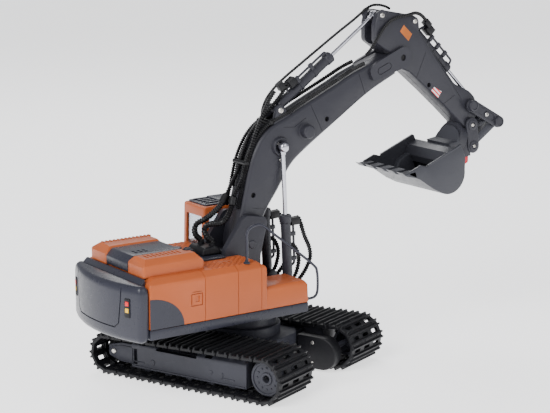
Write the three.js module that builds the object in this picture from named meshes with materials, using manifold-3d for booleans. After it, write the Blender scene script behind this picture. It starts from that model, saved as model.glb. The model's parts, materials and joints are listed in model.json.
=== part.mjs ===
// Remote-control tracked excavator, about 1:20, as an assembly of separate pieces.
// Millimetres, +Z up, +X towards the front of the superstructure, +Y towards the cab side.
// Modelled about the slew axis at ground level, then stood on the centre of its own base.
import * as THREE from 'three';
import { mergeVertices } from 'three/addons/utils/BufferGeometryUtils.js';
import Module from 'manifold-3d';

const wasm = await Module();
wasm.setup();

// ---------------------------------------------------------------- driving dimensions
const GAP = 0.3;                       // clearance between neighbouring pieces
const WALL = 1.8;                      // moulded wall thickness

// undercarriage, in its own frame: +X to the sprocket end, turned below the superstructure
const UNDERCARRIAGE_TURN = -67.5;      // degrees about the slew axis at rest
const TRACK_CENTRE = 53.2;             // from the slew axis to the middle of each track
const TRACK_WIDTH = 47;
const SPROCKET = { x: 65, z: 18.8, outer: 18.8, disc: 14.2, hub: 2.8 };
const IDLER = { x: -80, z: 16.6, outer: 16.6, wheel: 11.4, bolt: 2 };
const PAD_COUNT = 36;                  // track pads, each one raised bar
const GROUSER = 1.7;                   // height of a grouser above its pad
const BELT = 2.6;                      // thickness of the belt with its pads
const FRAME_FACE = 67;                 // outer face of a side frame, from the slew axis
const FRAME_TOP = 32.6;
const ROLLER = { x: 17, z: 26.6, r: 4.6 };

// superstructure
const DECK_BOTTOM = 52.4;
const DECK_TOP = 60;
const SHOULDER = 94;                   // top edge of the high side panels
const COVER_TOP = 97.5;                // walkway level inside the shoulder
const LOW_TOP = 77.6;                  // top of the low tool box at the front
const HALF_WIDTH = 50;
const REAR = -124;                     // rear corners of the side panels
const REAR_BULGE = 11;                 // sagitta of the counterweight's curved back
const SPLIT = -116;                    // joint line between counterweight and side panels
const FRONT = 27;
const STEP = -12;                      // step from the high to the low side section
const HOOD = { back: -115, front: -62, half: 40, band: 16, top: 110 };
const CAB = { back: -26, front: 27, inner: 14, outer: 49.5, top: 129.5, roof: 133 };

// work equipment: pivots in the X-Z plane
const BOOM_PIVOT = [-4, 104];
const ARM_PIVOT = [147.4, 238.7];
const ARM_END = [223.2, 176.4];
const LINK_FOOT = [225.3, 158.2];
const ROCKER_PIVOT = [222.6, 193];
const ROCKER_TIP = [252.6, 176.6];
const LIFT_BASE = [32, 69];
const LIFT_EYE = [27, 177.3];
const LIFT_SIDE = 14.3;                // lift cylinders, from the middle
const ARM_CYL_BASE = [29.5, 205];
const ARM_CYL_EYE = [126.9, 274];
const BUCKET_CYL_BASE = [161, 267.3];
const BOOM_HALF = 10.5;                // half the boom's thickness
const ARM_HALF = 10.5;
const CLEVIS_HALF = 13.2;
const BUCKET_HALF = 32;
const PIN = 1.6;                       // pin radius
const BORE = PIN + 0.1;
const SPIGOT = PIN - 0.25;             // moulded spigots that carry the cylinder eyes
const LINK_PLAY = 0.8;                 // radial play of the link on the coupler's spigots
const HOSE = 1.4;                      // radius of the hoses on boom and arm

// ---------------------------------------------------------------- materials
const material = (color, roughness, metalness = 0) =>
  new THREE.MeshStandardMaterial({ color, roughness, metalness });
const orange = () => material(0xc8713f, 0.5);
const deckGrey = () => material(0x52555f, 0.55);
const armGrey = () => material(0x45474e, 0.55);
const frameGrey = () => material(0x555a66, 0.6);
const trackBlack = () => material(0x26262a, 0.75);
const hoseBlack = () => material(0x1b1b1e, 0.6);
const chrome = () => material(0xc9ccd2, 0.2, 1);
const steel = () => material(0xb4b6ba, 0.35, 1);
const glass = () => material(0x6b7078, 0.15);
const red = () => material(0xc8283c, 0.45);

// ---------------------------------------------------------------- solids
function solid(geometry) {
  const plain = geometry.index ? geometry.toNonIndexed() : geometry.clone();
  for (const key of Object.keys(plain.attributes)) {
    if (key !== 'position') plain.deleteAttribute(key);
  }
  const merged = mergeVertices(plain, 1e-4);
  const made = new wasm.Manifold(new wasm.Mesh({
    numProp: 3,
    vertProperties: Float32Array.from(merged.attributes.position.array),
    triVerts: Uint32Array.from(merged.index.array),
  }));
  return made;
}

function surface(body) {
  const data = body.getMesh();
  const geometry = new THREE.BufferGeometry();
  geometry.setAttribute('position', new THREE.BufferAttribute(data.vertProperties, 3));
  geometry.setIndex(new THREE.BufferAttribute(data.triVerts, 1));
  geometry.computeVertexNormals();
  return geometry;
}

const join = (...bodies) => bodies.flat().reduce((a, b) => a.add(b));
const cut = (body, ...tools) => tools.flat().reduce((a, b) => a.subtract(b), body);

function block(x0, x1, y0, y1, z0, z1) {
  const geometry = new THREE.BoxGeometry(x1 - x0, y1 - y0, z1 - z0);
  geometry.translate((x0 + x1) / 2, (y0 + y1) / 2, (z0 + z1) / 2);
  return solid(geometry);
}

function prism(points, depth) {
  const shape = new THREE.Shape(points.map(([a, b]) => new THREE.Vector2(a, b)));
  return new THREE.ExtrudeGeometry(shape, { depth, bevelEnabled: false });
}

// side outline (x, z) carried from y0 to y1
function sideways(points, y0, y1) {
  return solid(prism(points, y1 - y0).rotateX(Math.PI / 2).translate(0, y1, 0));
}

// plan outline (x, y) carried from z0 to z1
function upward(points, z0, z1) {
  return solid(prism(points, z1 - z0).translate(0, 0, z0));
}

// outline (y, z) carried from x0 to x1
function forward(points, x0, x1) {
  return solid(prism(points, x1 - x0).rotateX(Math.PI / 2).rotateZ(Math.PI / 2)
    .translate(x0, 0, 0));
}

// round bar across the machine, centred on (x, z)
function crossBar([x, z], radius, y0, y1, sides = 12) {
  const geometry = new THREE.CylinderGeometry(radius, radius, y1 - y0, sides);
  return solid(geometry.translate(x, (y0 + y1) / 2, z));
}

function post(x, y, radius, z0, z1, sides = 16, topRadius = radius) {
  const geometry = new THREE.CylinderGeometry(topRadius, radius, z1 - z0, sides);
  return solid(geometry.rotateX(Math.PI / 2).translate(x, y, (z0 + z1) / 2));
}

// round bar from one point to another
function rod(from, to, radius, sides = 12) {
  const a = new THREE.Vector3(...from);
  const b = new THREE.Vector3(...to);
  const geometry = new THREE.CylinderGeometry(radius, radius, a.distanceTo(b), sides);
  const turn = new THREE.Quaternion().setFromUnitVectors(
    new THREE.Vector3(0, 1, 0), b.clone().sub(a).normalize());
  geometry.applyQuaternion(turn);
  const middle = a.add(b).multiplyScalar(0.5);
  return solid(geometry.translate(middle.x, middle.y, middle.z));
}

// tube along a smooth curve through the points
function hose(points, radius, steps, sides = 8) {
  const curve = new THREE.CatmullRomCurve3(points.map((p) => new THREE.Vector3(...p)));
  const section = new THREE.Shape();
  section.absarc(0, 0, radius, 0, Math.PI * 2);
  return new THREE.ExtrudeGeometry(section,
    { extrudePath: curve, steps, bevelEnabled: false, curveSegments: sides / 2 });
}

// the outline with each corner rounded by an arc of about the radius
function rounded(points, radius, steps = 3) {
  const count = points.length;
  return points.flatMap((corner, i) => {
    const here = new THREE.Vector2(...corner);
    const before = new THREE.Vector2(...points[(i + count - 1) % count]).sub(here);
    const after = new THREE.Vector2(...points[(i + 1) % count]).sub(here);
    const reach = Math.min(radius, before.length() * 0.45, after.length() * 0.45);
    const start = here.clone().add(before.normalize().multiplyScalar(reach));
    const end = here.clone().add(after.normalize().multiplyScalar(reach));
    return Array.from({ length: steps + 1 }, (_, k) => {
      const t = k / steps;
      const p = start.clone().multiplyScalar((1 - t) ** 2)
        .add(here.clone().multiplyScalar(2 * t * (1 - t)))
        .add(end.clone().multiplyScalar(t ** 2));
      return [p.x, p.y];
    });
  });
}

// the outline moved inwards by the distance; the points go round anticlockwise
function inset(points, distance) {
  const count = points.length;
  return points.map((corner, i) => {
    const here = new THREE.Vector2(...corner);
    const a = here.clone().sub(new THREE.Vector2(...points[(i + count - 1) % count]));
    const b = new THREE.Vector2(...points[(i + 1) % count]).sub(here);
    a.normalize();
    b.normalize();
    const normal = new THREE.Vector2(-a.y - b.y, a.x + b.x);
    const stretch = distance / Math.max(0.3, 1 + a.dot(b));
    return [here.x + normal.x * stretch, here.y + normal.y * stretch];
  });
}

const arc = ([x, z], radius, from, to, steps) =>
  Array.from({ length: steps + 1 }, (_, k) => {
    const angle = THREE.MathUtils.degToRad(from + (to - from) * k / steps);
    return [x + radius * Math.cos(angle), z + radius * Math.sin(angle)];
  });

const blend = (a, b, t) => a.map((value, i) => value + (b[i] - value) * t);

// ---------------------------------------------------------------- the assembly
const excavator = new THREE.Group();
const undercarriage = new THREE.Group();
undercarriage.rotation.z = THREE.MathUtils.degToRad(UNDERCARRIAGE_TURN);
excavator.add(undercarriage);

function piece(name, body, look, parent = excavator) {
  const mesh = new THREE.Mesh(body.isBufferGeometry ? body : surface(body), look);
  mesh.name = name;
  parent.add(mesh);
}

// ---------------------------------------------------------------- undercarriage
// the closed loop round sprocket and idler at a given offset from the grouser tips
function loopPoint(share, depth) {
  const dx = SPROCKET.x - IDLER.x;
  const lean = Math.atan2(SPROCKET.z - IDLER.z, dx);
  const tilt = lean + Math.asin((SPROCKET.outer - IDLER.outer) / Math.hypot(dx, 2));
  const run = dx * Math.cos(tilt);
  const lengths = [dx, (Math.PI + tilt) * SPROCKET.outer, run, (Math.PI - tilt) * IDLER.outer];
  let left = share * lengths.reduce((a, b) => a + b);
  if (left < lengths[0]) return [IDLER.x + left, depth];
  left -= lengths[0];
  if (left < lengths[1]) {
    const angle = -Math.PI / 2 + left / SPROCKET.outer;
    const r = SPROCKET.outer - depth;
    return [SPROCKET.x + r * Math.cos(angle), SPROCKET.z + r * Math.sin(angle)];
  }
  left -= lengths[1];
  const normal = Math.PI / 2 + tilt;
  const top = (wheel) => [wheel.x + (wheel.outer - depth) * Math.cos(normal),
    wheel.z + (wheel.outer - depth) * Math.sin(normal)];
  if (left < lengths[2]) return blend(top(SPROCKET), top(IDLER), left / lengths[2]);
  left -= lengths[2];
  const angle = normal + left / IDLER.outer;
  const r = IDLER.outer - depth;
  return [IDLER.x + r * Math.cos(angle), IDLER.z + r * Math.sin(angle)];
}

function trackBelt(side) {
  const profile = [[0.1, GROUSER], [0.2, 0], [0.66, 0], [0.76, GROUSER]];
  const outer = [];
  for (let pad = 0; pad < PAD_COUNT; pad += 1) {
    for (const [part, depth] of profile) outer.push(loopPoint((pad + part) / PAD_COUNT, depth));
  }
  const inner = Array.from({ length: 60 }, (_, k) => loopPoint(k / 60, GROUSER + BELT));
  const middle = side * TRACK_CENTRE;
  const y0 = middle - TRACK_WIDTH / 2;
  const y1 = middle + TRACK_WIDTH / 2;
  return cut(sideways(outer, y0, y1), sideways(inner, y0 - 1, y1 + 1));
}

const across = (side, a, b) => (side > 0 ? [a, b] : [-b, -a]);

function sideFrame(side) {
  const section = [[42, 6.6], [FRAME_FACE - 1, 6.6], [FRAME_FACE, 8.6], [FRAME_FACE, 25.5],
    [FRAME_FACE - 7.5, FRAME_TOP - 1], [42, FRAME_TOP - 1]];
  const turned = section.map(([y, z]) => [side * y, z]);
  if (side < 0) turned.reverse();
  const body = forward(turned, -62, 46.5);
  const recess = block(-38, 0.5, ...across(side, 58, 72), 23.5, 40);
  const slots = [-54, 8].map((x) => block(x, x + 6, ...across(side, 60, 80), 25.8, 27.4));
  const lugs = [-48, -28, -8, 12, 32].map((x) =>
    sideways([[x - 4, 7], [x - 2.6, 4.7], [x + 2.6, 4.7], [x + 4, 7]],
      ...across(side, 44, FRAME_FACE - 2)));
  const ends = [sideways(rounded([[-62.5, 9], [-61.5, 24], [-74, 24], [-80, 21.5], [-80, 12], [-74, 9]],
    2).reverse(), ...across(side, 61, 65))];
  const roller = crossBar([ROLLER.x, ROLLER.z], ROLLER.r + 0.6, ...across(side, 46.6, 61.4));
  const rollerSlot = block(ROLLER.x - 5.2, ROLLER.x + 5.2, ...across(side, 46.6, 61.4),
    ROLLER.z, FRAME_TOP + 4);
  const mark = block(26, 38, ...across(side, FRAME_FACE - 1, FRAME_FACE + 0.5), 12, 14);
  const markEnd = block(26, 28, ...across(side, FRAME_FACE - 1, FRAME_FACE + 0.5), 12, 19);
  const boss = crossBar([21.5, 15.5], 2.4, ...across(side, FRAME_FACE - 1, FRAME_FACE + 0.6));
  const rib = block(-60, 45, ...across(side, FRAME_FACE - 1, FRAME_FACE + 0.5), 7.2, 8.4);
  const box = cut(block(-36, -1.5, ...across(side, 57.5, 61.5), 23, 32),
    block(-34, -3.5, ...across(side, 60.7, 63), 25.6, 30.4));
  const axle = crossBar([IDLER.x, IDLER.z], 2, ...across(side, 47, 61.5));
  const underBelt = sideways([[-70, 28.9], [50, 32.4], [50, 60], [-70, 60]], -90, 90);
  const moulding = cut(join(body, lugs, ends, mark, markEnd, boss, rib, axle), recess, slots,
    roller, rollerSlot, underBelt);
  const stubAxle = crossBar([ROLLER.x, ROLLER.z], 1.2, ...across(side, 46, 62), 12);
  return join(moulding, cut(box, underBelt), stubAxle);
}

for (const [side, hand] of [[-1, 'left'], [1, 'right']]) {
  piece(`track_belt_${hand}`, trackBelt(side), trackBlack(), undercarriage);
  piece(`side_frame_${hand}`, sideFrame(side), frameGrey(), undercarriage);

  const teeth = Array.from({ length: 12 }, (_, k) => {
    const tooth = block(-1.2, 1.2, ...across(side, 51, 55.6), 8, SPROCKET.disc - 0.4);
    return tooth.rotate([0, 30 * k, 0]).translate([SPROCKET.x, 0, SPROCKET.z]);
  });
  const centre = [SPROCKET.x, SPROCKET.z];
  const wheel = join(crossBar(centre, 11, ...across(side, 48, 64)),
    crossBar(centre, SPROCKET.disc, ...across(side, 63.5, 67), 28),
    crossBar(centre, SPROCKET.disc - 1.6, ...across(side, 66, 68.6), 28), teeth,
    crossBar(centre, 2.2, ...across(side, 24, 49), 12));
  piece(`drive_sprocket_${hand}`, cut(wheel,
    crossBar(centre, SPROCKET.hub, ...across(side, 64, 70), 12)), frameGrey(), undercarriage);

  const outline = [...arc([60, 15], 13.2, -90, 90, 12), [38, 28.2], [38, 1.8]];
  const housing = cut(sideways(outline, ...across(side, 18.5, 29.3)),
    sideways(inset(outline, WALL), ...across(side, 20.3, 30)));
  piece(`final_drive_case_${hand}`, housing, trackBlack(), undercarriage);
  piece(`drive_motor_${hand}`, crossBar([50, 14], 7.4, ...across(side, 20.7, 29.2)), steel(),
    undercarriage);

  const idlerAt = [IDLER.x, IDLER.z];
  const idler = cut(join(crossBar(idlerAt, IDLER.wheel, ...across(side, 49, 58.2)),
    crossBar(idlerAt, 6, ...across(side, 48, 59.2))),
  crossBar(idlerAt, 2.1, ...across(side, 40, 66)));
  piece(`idler_wheel_${hand}`, idler, trackBlack(), undercarriage);

  const rollerAt = [ROLLER.x, ROLLER.z];
  const ribs = [49, 54.4, 60].map((y) =>
    crossBar(rollerAt, ROLLER.r, ...across(side, y - 1, y + 1)));
  const roller = cut(join(crossBar(rollerAt, ROLLER.r - 1, ...across(side, 48, 61)), ribs),
    crossBar(rollerAt, 1.3, ...across(side, 40, 80), 8));
  piece(`carrier_roller_${hand}`, roller, frameGrey(), undercarriage);
}

const frameOutline = rounded([[-44, -29], [30, -29], [37.4, -18], [37.4, 18], [30, 29],
  [-44, 29], [-52, 18], [-52, -18]], 3, 2);
const carBody = join(upward(frameOutline, 9, 30),
  block(-40, -16, -41.5, 41.5, 12, 27), block(10, 30, -41.5, 41.5, 12, 27),
  post(0, 0, 28.6, 29, 38, 24), post(0, 0, 25, 37, 44, 24));
const slewBore = post(0, 0, 6.4, 20, 60, 16);
piece('centre_frame', cut(carBody, slewBore, upward(inset(frameOutline, 2.4), 5, 27)),
  frameGrey(), undercarriage);

// ---------------------------------------------------------------- superstructure
const backArc = (x, half, bulge, steps) => {
  const radius = (half ** 2 + bulge ** 2) / (2 * bulge);
  return Array.from({ length: steps + 1 }, (_, k) => {
    const y = half - 2 * half * k / steps;
    return [x + radius - bulge - Math.sqrt(radius ** 2 - y ** 2), y];
  });
};

const deckPlan = [[FRONT, -HALF_WIDTH], [FRONT, HALF_WIDTH], [SPLIT + GAP, HALF_WIDTH],
  [SPLIT + GAP, -HALF_WIDTH]];
const turntable = join(post(0, 0, 30, 45, DECK_BOTTOM + 0.1, 24), post(0, 0, 6, 21, 50, 16));
const tray = cut(upward(deckPlan, DECK_BOTTOM, DECK_TOP), upward(inset(deckPlan, WALL),
  DECK_BOTTOM + 2, DECK_TOP + 1));
piece('deck_tray', join(tray, turntable), deckGrey());

const weightPlan = rounded([[SPLIT + 9, HALF_WIDTH], ...backArc(REAR, HALF_WIDTH, REAR_BULGE, 10),
  [SPLIT + 9, -HALF_WIDTH]], 5, 2);
const weightBottom = 50.5;
const weightTop = 94;
const counterweight = cut(upward(weightPlan, weightBottom, weightTop),
  upward(inset(weightPlan, 3), weightBottom + 3, weightTop + 2),
  block(SPLIT, SPLIT + 20, -60, 60, weightBottom - 1, weightTop + 2),
  block(SPLIT - 6, SPLIT + 1, -44, 44, weightBottom + 3, weightTop + 2));
const lights = [-1, 1].map((side) =>
  block(REAR - 5.4, REAR - 1.2, side * 39 - 2.3, side * 39 + 2.3, 70.3, 84.2));
piece('counterweight', join(counterweight, lights), deckGrey());

// orange body shell: high section behind the step, low tool box in front on the right
const coverSide = [[SPLIT + GAP, DECK_TOP + GAP], [STEP + 3, DECK_TOP + GAP],
  [STEP - 1, SHOULDER], [SPLIT + GAP, SHOULDER]];
const highSection = join(sideways(coverSide, -HALF_WIDTH, HALF_WIDTH),
  sideways([[SPLIT + GAP, SHOULDER - 1], [STEP - 1, SHOULDER - 1], [STEP - 4, COVER_TOP],
    [SPLIT + 4, COVER_TOP]], -HALF_WIDTH + 5, HALF_WIDTH - 5));
const lowSection = sideways([[STEP + 2, DECK_TOP + GAP], [FRONT, DECK_TOP + GAP],
  [FRONT - 3.5, LOW_TOP], [STEP + 1, LOW_TOP]], -HALF_WIDTH, -18.5);
const cavity = join(block(SPLIT - 1, STEP - 3, -HALF_WIDTH + WALL, HALF_WIDTH - WALL, 50, 91.5),
  block(STEP - 5, FRONT - 6, -HALF_WIDTH + WALL, -20.5, 50, LOW_TOP - WALL));
const boomWell = block(-30, 40, -18.2, 18.2, 50, 120);
const cabSeat = block(CAB.back - GAP, 40, 13, 60, 90, 120);
const body = cut(join(highSection, lowSection), cavity, boomWell, cabSeat);
piece('body_cover', body, orange());

// hood blocks
function hoodBlock(y0, y1, slopeSide) {
  const low = slopeSide < 0 ? [y0, y0 + 5] : [y1, y1 - 5];
  const section = slopeSide < 0
    ? [[low[0], COVER_TOP + GAP], [y1, COVER_TOP + GAP], [y1, HOOD.top], [low[1], HOOD.top],
      [low[0], HOOD.top - 4.5]]
    : [[y0, COVER_TOP + GAP], [low[0], COVER_TOP + GAP], [low[0], HOOD.top - 4.5],
      [low[1], HOOD.top], [y0, HOOD.top]];
  const slab = forward(section, HOOD.back, HOOD.front);
  const profile = [[HOOD.back, COVER_TOP], [HOOD.front, COVER_TOP], [HOOD.front - 5, HOOD.top + 1],
    [HOOD.back + 4, HOOD.top + 1], [HOOD.back, HOOD.top - 5]];
  return slab.intersect(sideways(profile, y0 - 1, y1 + 1));
}
const hoodRidges = Array.from({ length: 13 }, (_, k) =>
  block(HOOD.back + 7 + k * 3.3, HOOD.back + 8.8 + k * 3.3, HOOD.half - 9, HOOD.half - 5.4,
    HOOD.top - 0.2, HOOD.top + 0.8));
piece('hood_left', join(hoodBlock(HOOD.band + GAP, HOOD.half, 1), hoodRidges), orange());
const louvres = Array.from({ length: 8 }, (_, k) =>
  block(HOOD.back + 9 + k * 3.6, HOOD.back + 10.6 + k * 3.6, -28, -18.5,
    HOOD.top - 0.6, HOOD.top + 1));
const stubHole = post(-67, -22, 3.6, HOOD.top - 6, HOOD.top + 2);
piece('hood_right', cut(hoodBlock(-HOOD.half, -HOOD.band - GAP, -1), louvres, stubHole), orange());
const band = sideways([[HOOD.back, COVER_TOP + GAP], [HOOD.front, COVER_TOP + GAP],
  [HOOD.front - 6, HOOD.top - 0.6], [HOOD.back + 4, HOOD.top - 0.6],
  [HOOD.back, HOOD.top - 5]], -HOOD.band, HOOD.band);
const vents = [0, 1, 2].flatMap((i) => [0, 1].map((j) =>
  block(-106 + i * 4, -103.6 + i * 4, -11 + j * 4, -8.6 + j * 4, HOOD.top - 2, HOOD.top)));
piece('hood_centre', cut(band, vents), deckGrey());
piece('exhaust_stub', post(-67, -22, 3.2, HOOD.top - 5.7, HOOD.top + 1.6, 20, 2.8), armGrey());
const manifold = sideways(rounded([[-46, COVER_TOP + 2], [-31.8, COVER_TOP + 2],
  [-32.6, COVER_TOP + 7], [-45, COVER_TOP + 8]], 1.5), -13, 11);
piece('hose_manifold', join(manifold, post(-53, 8, 3.4, COVER_TOP + 2, COVER_TOP + 6.5, 20),
  block(HOOD.front + GAP, -32, -22, 12, COVER_TOP + GAP, COVER_TOP + 2.5)), deckGrey());

// cab
const cabProfile = [[CAB.back, 91], [CAB.back, DECK_TOP + GAP + 30.2], [STEP + 6, 90.6],
  [STEP + 6, DECK_TOP + GAP], [CAB.front, DECK_TOP + GAP], [CAB.front, 99],
  [CAB.front - 11, CAB.top], [CAB.back + 1, CAB.top]];
const cabOuter = sideways(cabProfile.slice(1), CAB.inner + 4.6, CAB.outer);
const cabInner = sideways([[CAB.back + WALL, 92.5], [STEP + 8, 92.5], [STEP + 8, DECK_TOP - 1],
  [CAB.front - WALL, DECK_TOP - 1], [CAB.front - WALL, 98], [CAB.front - 12, CAB.top - WALL],
  [CAB.back + WALL + 0.6, CAB.top - WALL]], CAB.inner + 4.6 + WALL, CAB.outer - WALL);
const rearWindow = block(CAB.back - 2, CAB.back + 4, CAB.inner + 9, CAB.outer - 4.5, 97, 124);
const sideWindows = sideways(rounded([[CAB.back + 11, 100], [CAB.front - 5, 100],
  [CAB.front - 14, 124], [CAB.back + 11, 124]], 2), CAB.inner, CAB.outer + 2);
const frontWindow = sideways([[CAB.front - 3.4, 96], [CAB.front + 4, 96], [CAB.front, CAB.top - 5],
  [CAB.front - 15.6, CAB.top - 5]], CAB.inner + 8.5, CAB.outer - 4);
piece('cab_shell', cut(cabOuter, cabInner, rearWindow, sideWindows, frontWindow), orange());
const roofRibs = [0, 1, 2, 3].map((k) => block(CAB.back + 6, CAB.front - 18,
  CAB.inner + 10 + k * 6.4, CAB.inner + 12.4 + k * 6.4, CAB.top + 2, CAB.roof));
piece('cab_roof', join(block(CAB.back + 3, CAB.front - 13, CAB.inner + 7, CAB.outer - 2.5,
  CAB.top + GAP, CAB.top + 2.3), roofRibs), deckGrey());
const paneProfile = (margin) => [[CAB.back + WALL + margin, 93], [CAB.front - 3 - margin, 93],
  [CAB.front - 3 - margin, 98], [CAB.front - 13.4 - margin, CAB.top - 3 - margin],
  [CAB.back + WALL + margin + 0.6, CAB.top - 3 - margin]];
piece('cab_glazing', cut(sideways(paneProfile(GAP), CAB.inner + 6.8, CAB.outer - 2.2),
  sideways(paneProfile(GAP + 1), CAB.inner + 7.8, CAB.outer - 3.2),
  block(CAB.back + 4, CAB.front - 5, CAB.inner + 7.8, CAB.outer - 3.2, 90, 96)), glass());

// handrail
const railPath = [[-27, -44, 97.8], [-26.6, -44, 104], [-26.6, -44, 112], [-26.8, -44, 119.5],
  [-24.6, -44, 124], [-18.6, -44, 126], [-12, -44, 124.8], [13, -44.6, 105.4], [33.6, -45.5, 88.6],
  [37.6, -46, 82], [38.2, -46, 68], [36, -46, 62.8], [31, -46, 61.6], [FRONT + GAP, -46, 62]];
piece('handrail', solid(hose(railPath, 1, 34, 6)).add(post(-27, -44, 2.6, 97.8, 99.2, 16)),
  deckGrey());

// inside the body
piece('battery_pack', block(-104, -50, -24, 24, 56, 74), trackBlack());
piece('control_board', block(-104, -44, -30, 30, 80, 81.8), material(0x2b6b45, 0.5));
piece('slew_motor', join(post(-38, 30, 7, 56, 78, 20), post(-38, 30, 2, 54.8, 57, 12)), steel());

// boom tower on the deck
const towerOutline = rounded([[-29, 55], [4, 55], [4, 94], [10.6, 120], [8.6, 124.4],
  [-8.6, 127.4], [-12, 125.8], [-29, 102.4]], 2);
const tower = cut(sideways(towerOutline, -17.6, 17.6), block(-24.5, 20, -12.4, 12.4, 62, 140),
  block(-40, 20, -12.4, 12.4, 101, 140),
  crossBar(BOOM_PIVOT, BORE, -30, 30));
const liftTongue = block(0, 36, -11, 11, DECK_TOP + GAP, 64);
const liftLugs = [-1, 1].map((side) => join(
  sideways([[24, 62], [LIFT_BASE[0] + 4.4, 62], ...arc(LIFT_BASE, 4.4, 0, 140, 6)],
    ...across(side, 6.6, 9.6)),
  crossBar(LIFT_BASE, SPIGOT, ...across(side, 9, 17.4), 8)));
piece('boom_tower', join(tower, liftTongue, liftLugs), armGrey());
const boomMotor = crossBar([-14, 72], 7.4, -11, 11);
piece('boom_motor', join(boomMotor, block(-20, -6, -6, 6, 62.3, 66)), steel());

// ---------------------------------------------------------------- boom
const boomLower = [[7.5, 104], [8.9, 114.3], [16.5, 129.4], [26.1, 142.7], [38, 160.5],
  [52, 172], [84.4, 193], [114.4, 211.9], [139.9, 224.2], [151.5, 229.5]];
const boomTip = arc(ARM_PIVOT, 9.2, -55, 80, 7);
const boomUpper = [[134.4, 241.6], [100, 229.4], [84.1, 222], [54.8, 208.9], [35.5, 199.8],
  [21.3, 194.1], [11.8, 187], [5.3, 178.3], [-0.4, 165.5], [-5.1, 146.3], [-10.8, 121.7]];
const boomFoot = arc(BOOM_PIVOT, 10.8, 165, 345, 9);
const boomOutline = [...boomFoot, ...boomLower.slice(1), ...boomTip, ...boomUpper];

function boomHalf(side) {
  const skin = sideways(boomOutline, ...across(side, GAP / 2, BOOM_HALF));
  const hollow = sideways(inset(boomOutline, WALL), ...across(side, GAP / 2 - 1, BOOM_HALF - WALL));
  const bosses = [BOOM_PIVOT, LIFT_EYE, [1.9, 141.1], [51, 188.1], [72, 195]].map((at, i) =>
    crossBar(at, i < 2 ? 5 : 3, ...across(side, GAP / 2, BOOM_HALF + (i === 1 ? 0.4 : 0))));
  const cheek = sideways([...arc(ARM_PIVOT, 8.6, -100, 100, 10), [128, 238], [126, 226],
    [140, 226.5]], ...across(side, BOOM_HALF - 0.5, CLEVIS_HALF + 2.6));
  const bores = [BOOM_PIVOT, ARM_PIVOT].map((at) => crossBar(at, BORE, -30, 30));
  const armSlot = block(133, 175, -ARM_HALF - GAP - 0.4, ARM_HALF + GAP + 0.4, 222, 260);
  const lug = sideways([...arc(ARM_CYL_BASE, 3.6, 0, 180, 8), [24, 192], [38, 196]],
    ...across(side, 4.3, 6.6));
  const spigots = [crossBar(ARM_CYL_BASE, SPIGOT, ...across(side, GAP / 2, 5), 8),
    crossBar(LIFT_EYE, SPIGOT, ...across(side, BOOM_HALF - 1, 18), 8)];
  return cut(join(cut(skin, hollow), bosses, cheek, lug, spigots), bores,
    armSlot.intersect(sideways(arc(ARM_PIVOT, 13.5, 0, 360, 24).slice(1), -20, 20)));
}
piece('boom_left_half', boomHalf(1), armGrey());
piece('boom_right_half', boomHalf(-1), armGrey());

// ---------------------------------------------------------------- arm
const armOutline = [...arc(ARM_END, 5.4, -150, 30, 8), [232.5, 187], [228, 199.5], [222, 205],
  [205.5, 212.4], [188.6, 231.9], [166.6, 258.2], [165.5, 269], [160, 272.2], [146.4, 274.7],
  [129, 278], [123.2, 275.2], [120.9, 266.6], [121.1, 253], [137, 242], [141, 233.4],
  [150, 228.6], [156.8, 226], [178.5, 208.6], [200.6, 189.8]];

function armHalf(side) {
  const skin = sideways(armOutline, ...across(side, GAP / 2, ARM_HALF));
  const hollow = sideways(inset(armOutline, WALL), ...across(side, GAP / 2 - 1, ARM_HALF - WALL));
  const at = [ARM_PIVOT, ARM_END, ROCKER_PIVOT, ARM_CYL_EYE, BUCKET_CYL_BASE, [175.6, 212.1]];
  const bosses = at.map((p) => crossBar(p, 4.4, ...across(side, GAP / 2, ARM_HALF)));
  const bores = at.slice(0, 3).map((p) => crossBar(p, BORE, -30, 30));
  const spigots = [ARM_CYL_EYE, BUCKET_CYL_BASE].map((p) =>
    crossBar(p, SPIGOT, ...across(side, GAP / 2, ARM_HALF - 1), 8));
  const rodSlot = sideways([[118, 250], [128, 250], [134, 262], [134, 290], [118, 290]], -4.4, 4.4);
  const bucketSlot = sideways([[155, 258.5], [172, 244], [180, 262], [164, 280], [152, 276]],
    -4.4, 4.4);
  const rodGroove = sideways([[196.8, 225.5], [236.8, 185.9], [250, 200], [210, 240]], -2.7, 2.7);
  return join(cut(join(cut(skin, hollow), bosses), bores, rodSlot, bucketSlot, rodGroove), spigots);
}
piece('arm_left_half', armHalf(1), armGrey());
piece('arm_right_half', armHalf(-1), armGrey());

// ---------------------------------------------------------------- bucket linkage
const capsule = (a, b, ra, rb) => {
  const angle = THREE.MathUtils.radToDeg(Math.atan2(b[1] - a[1], b[0] - a[0]));
  return [...arc(b, rb, angle - 90, angle + 90, 9), ...arc(a, ra, angle + 90, angle + 270, 9)];
};
const rockerSide = (side) => {
  const plate = sideways(capsule(ROCKER_PIVOT, ROCKER_TIP, 5.4, 5.2),
    ...across(side, ARM_HALF + GAP, ARM_HALF + 3));
  const bosses = [ROCKER_PIVOT, ROCKER_TIP].map((at) =>
    crossBar(at, 4.6, ...across(side, ARM_HALF + 2, ARM_HALF + 4)));
  return join(plate, bosses);
};
piece('rocker', cut(join(rockerSide(-1), rockerSide(1),
  crossBar(ROCKER_TIP, PIN, -ARM_HALF - 1, ARM_HALF + 1)),
crossBar(ROCKER_PIVOT, BORE, -ARM_HALF - 3, ARM_HALF + 3)), armGrey());
piece('rocker_pin', crossBar(ROCKER_PIVOT, PIN, -ARM_HALF - 2.6, ARM_HALF + 2.6), steel());

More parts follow.
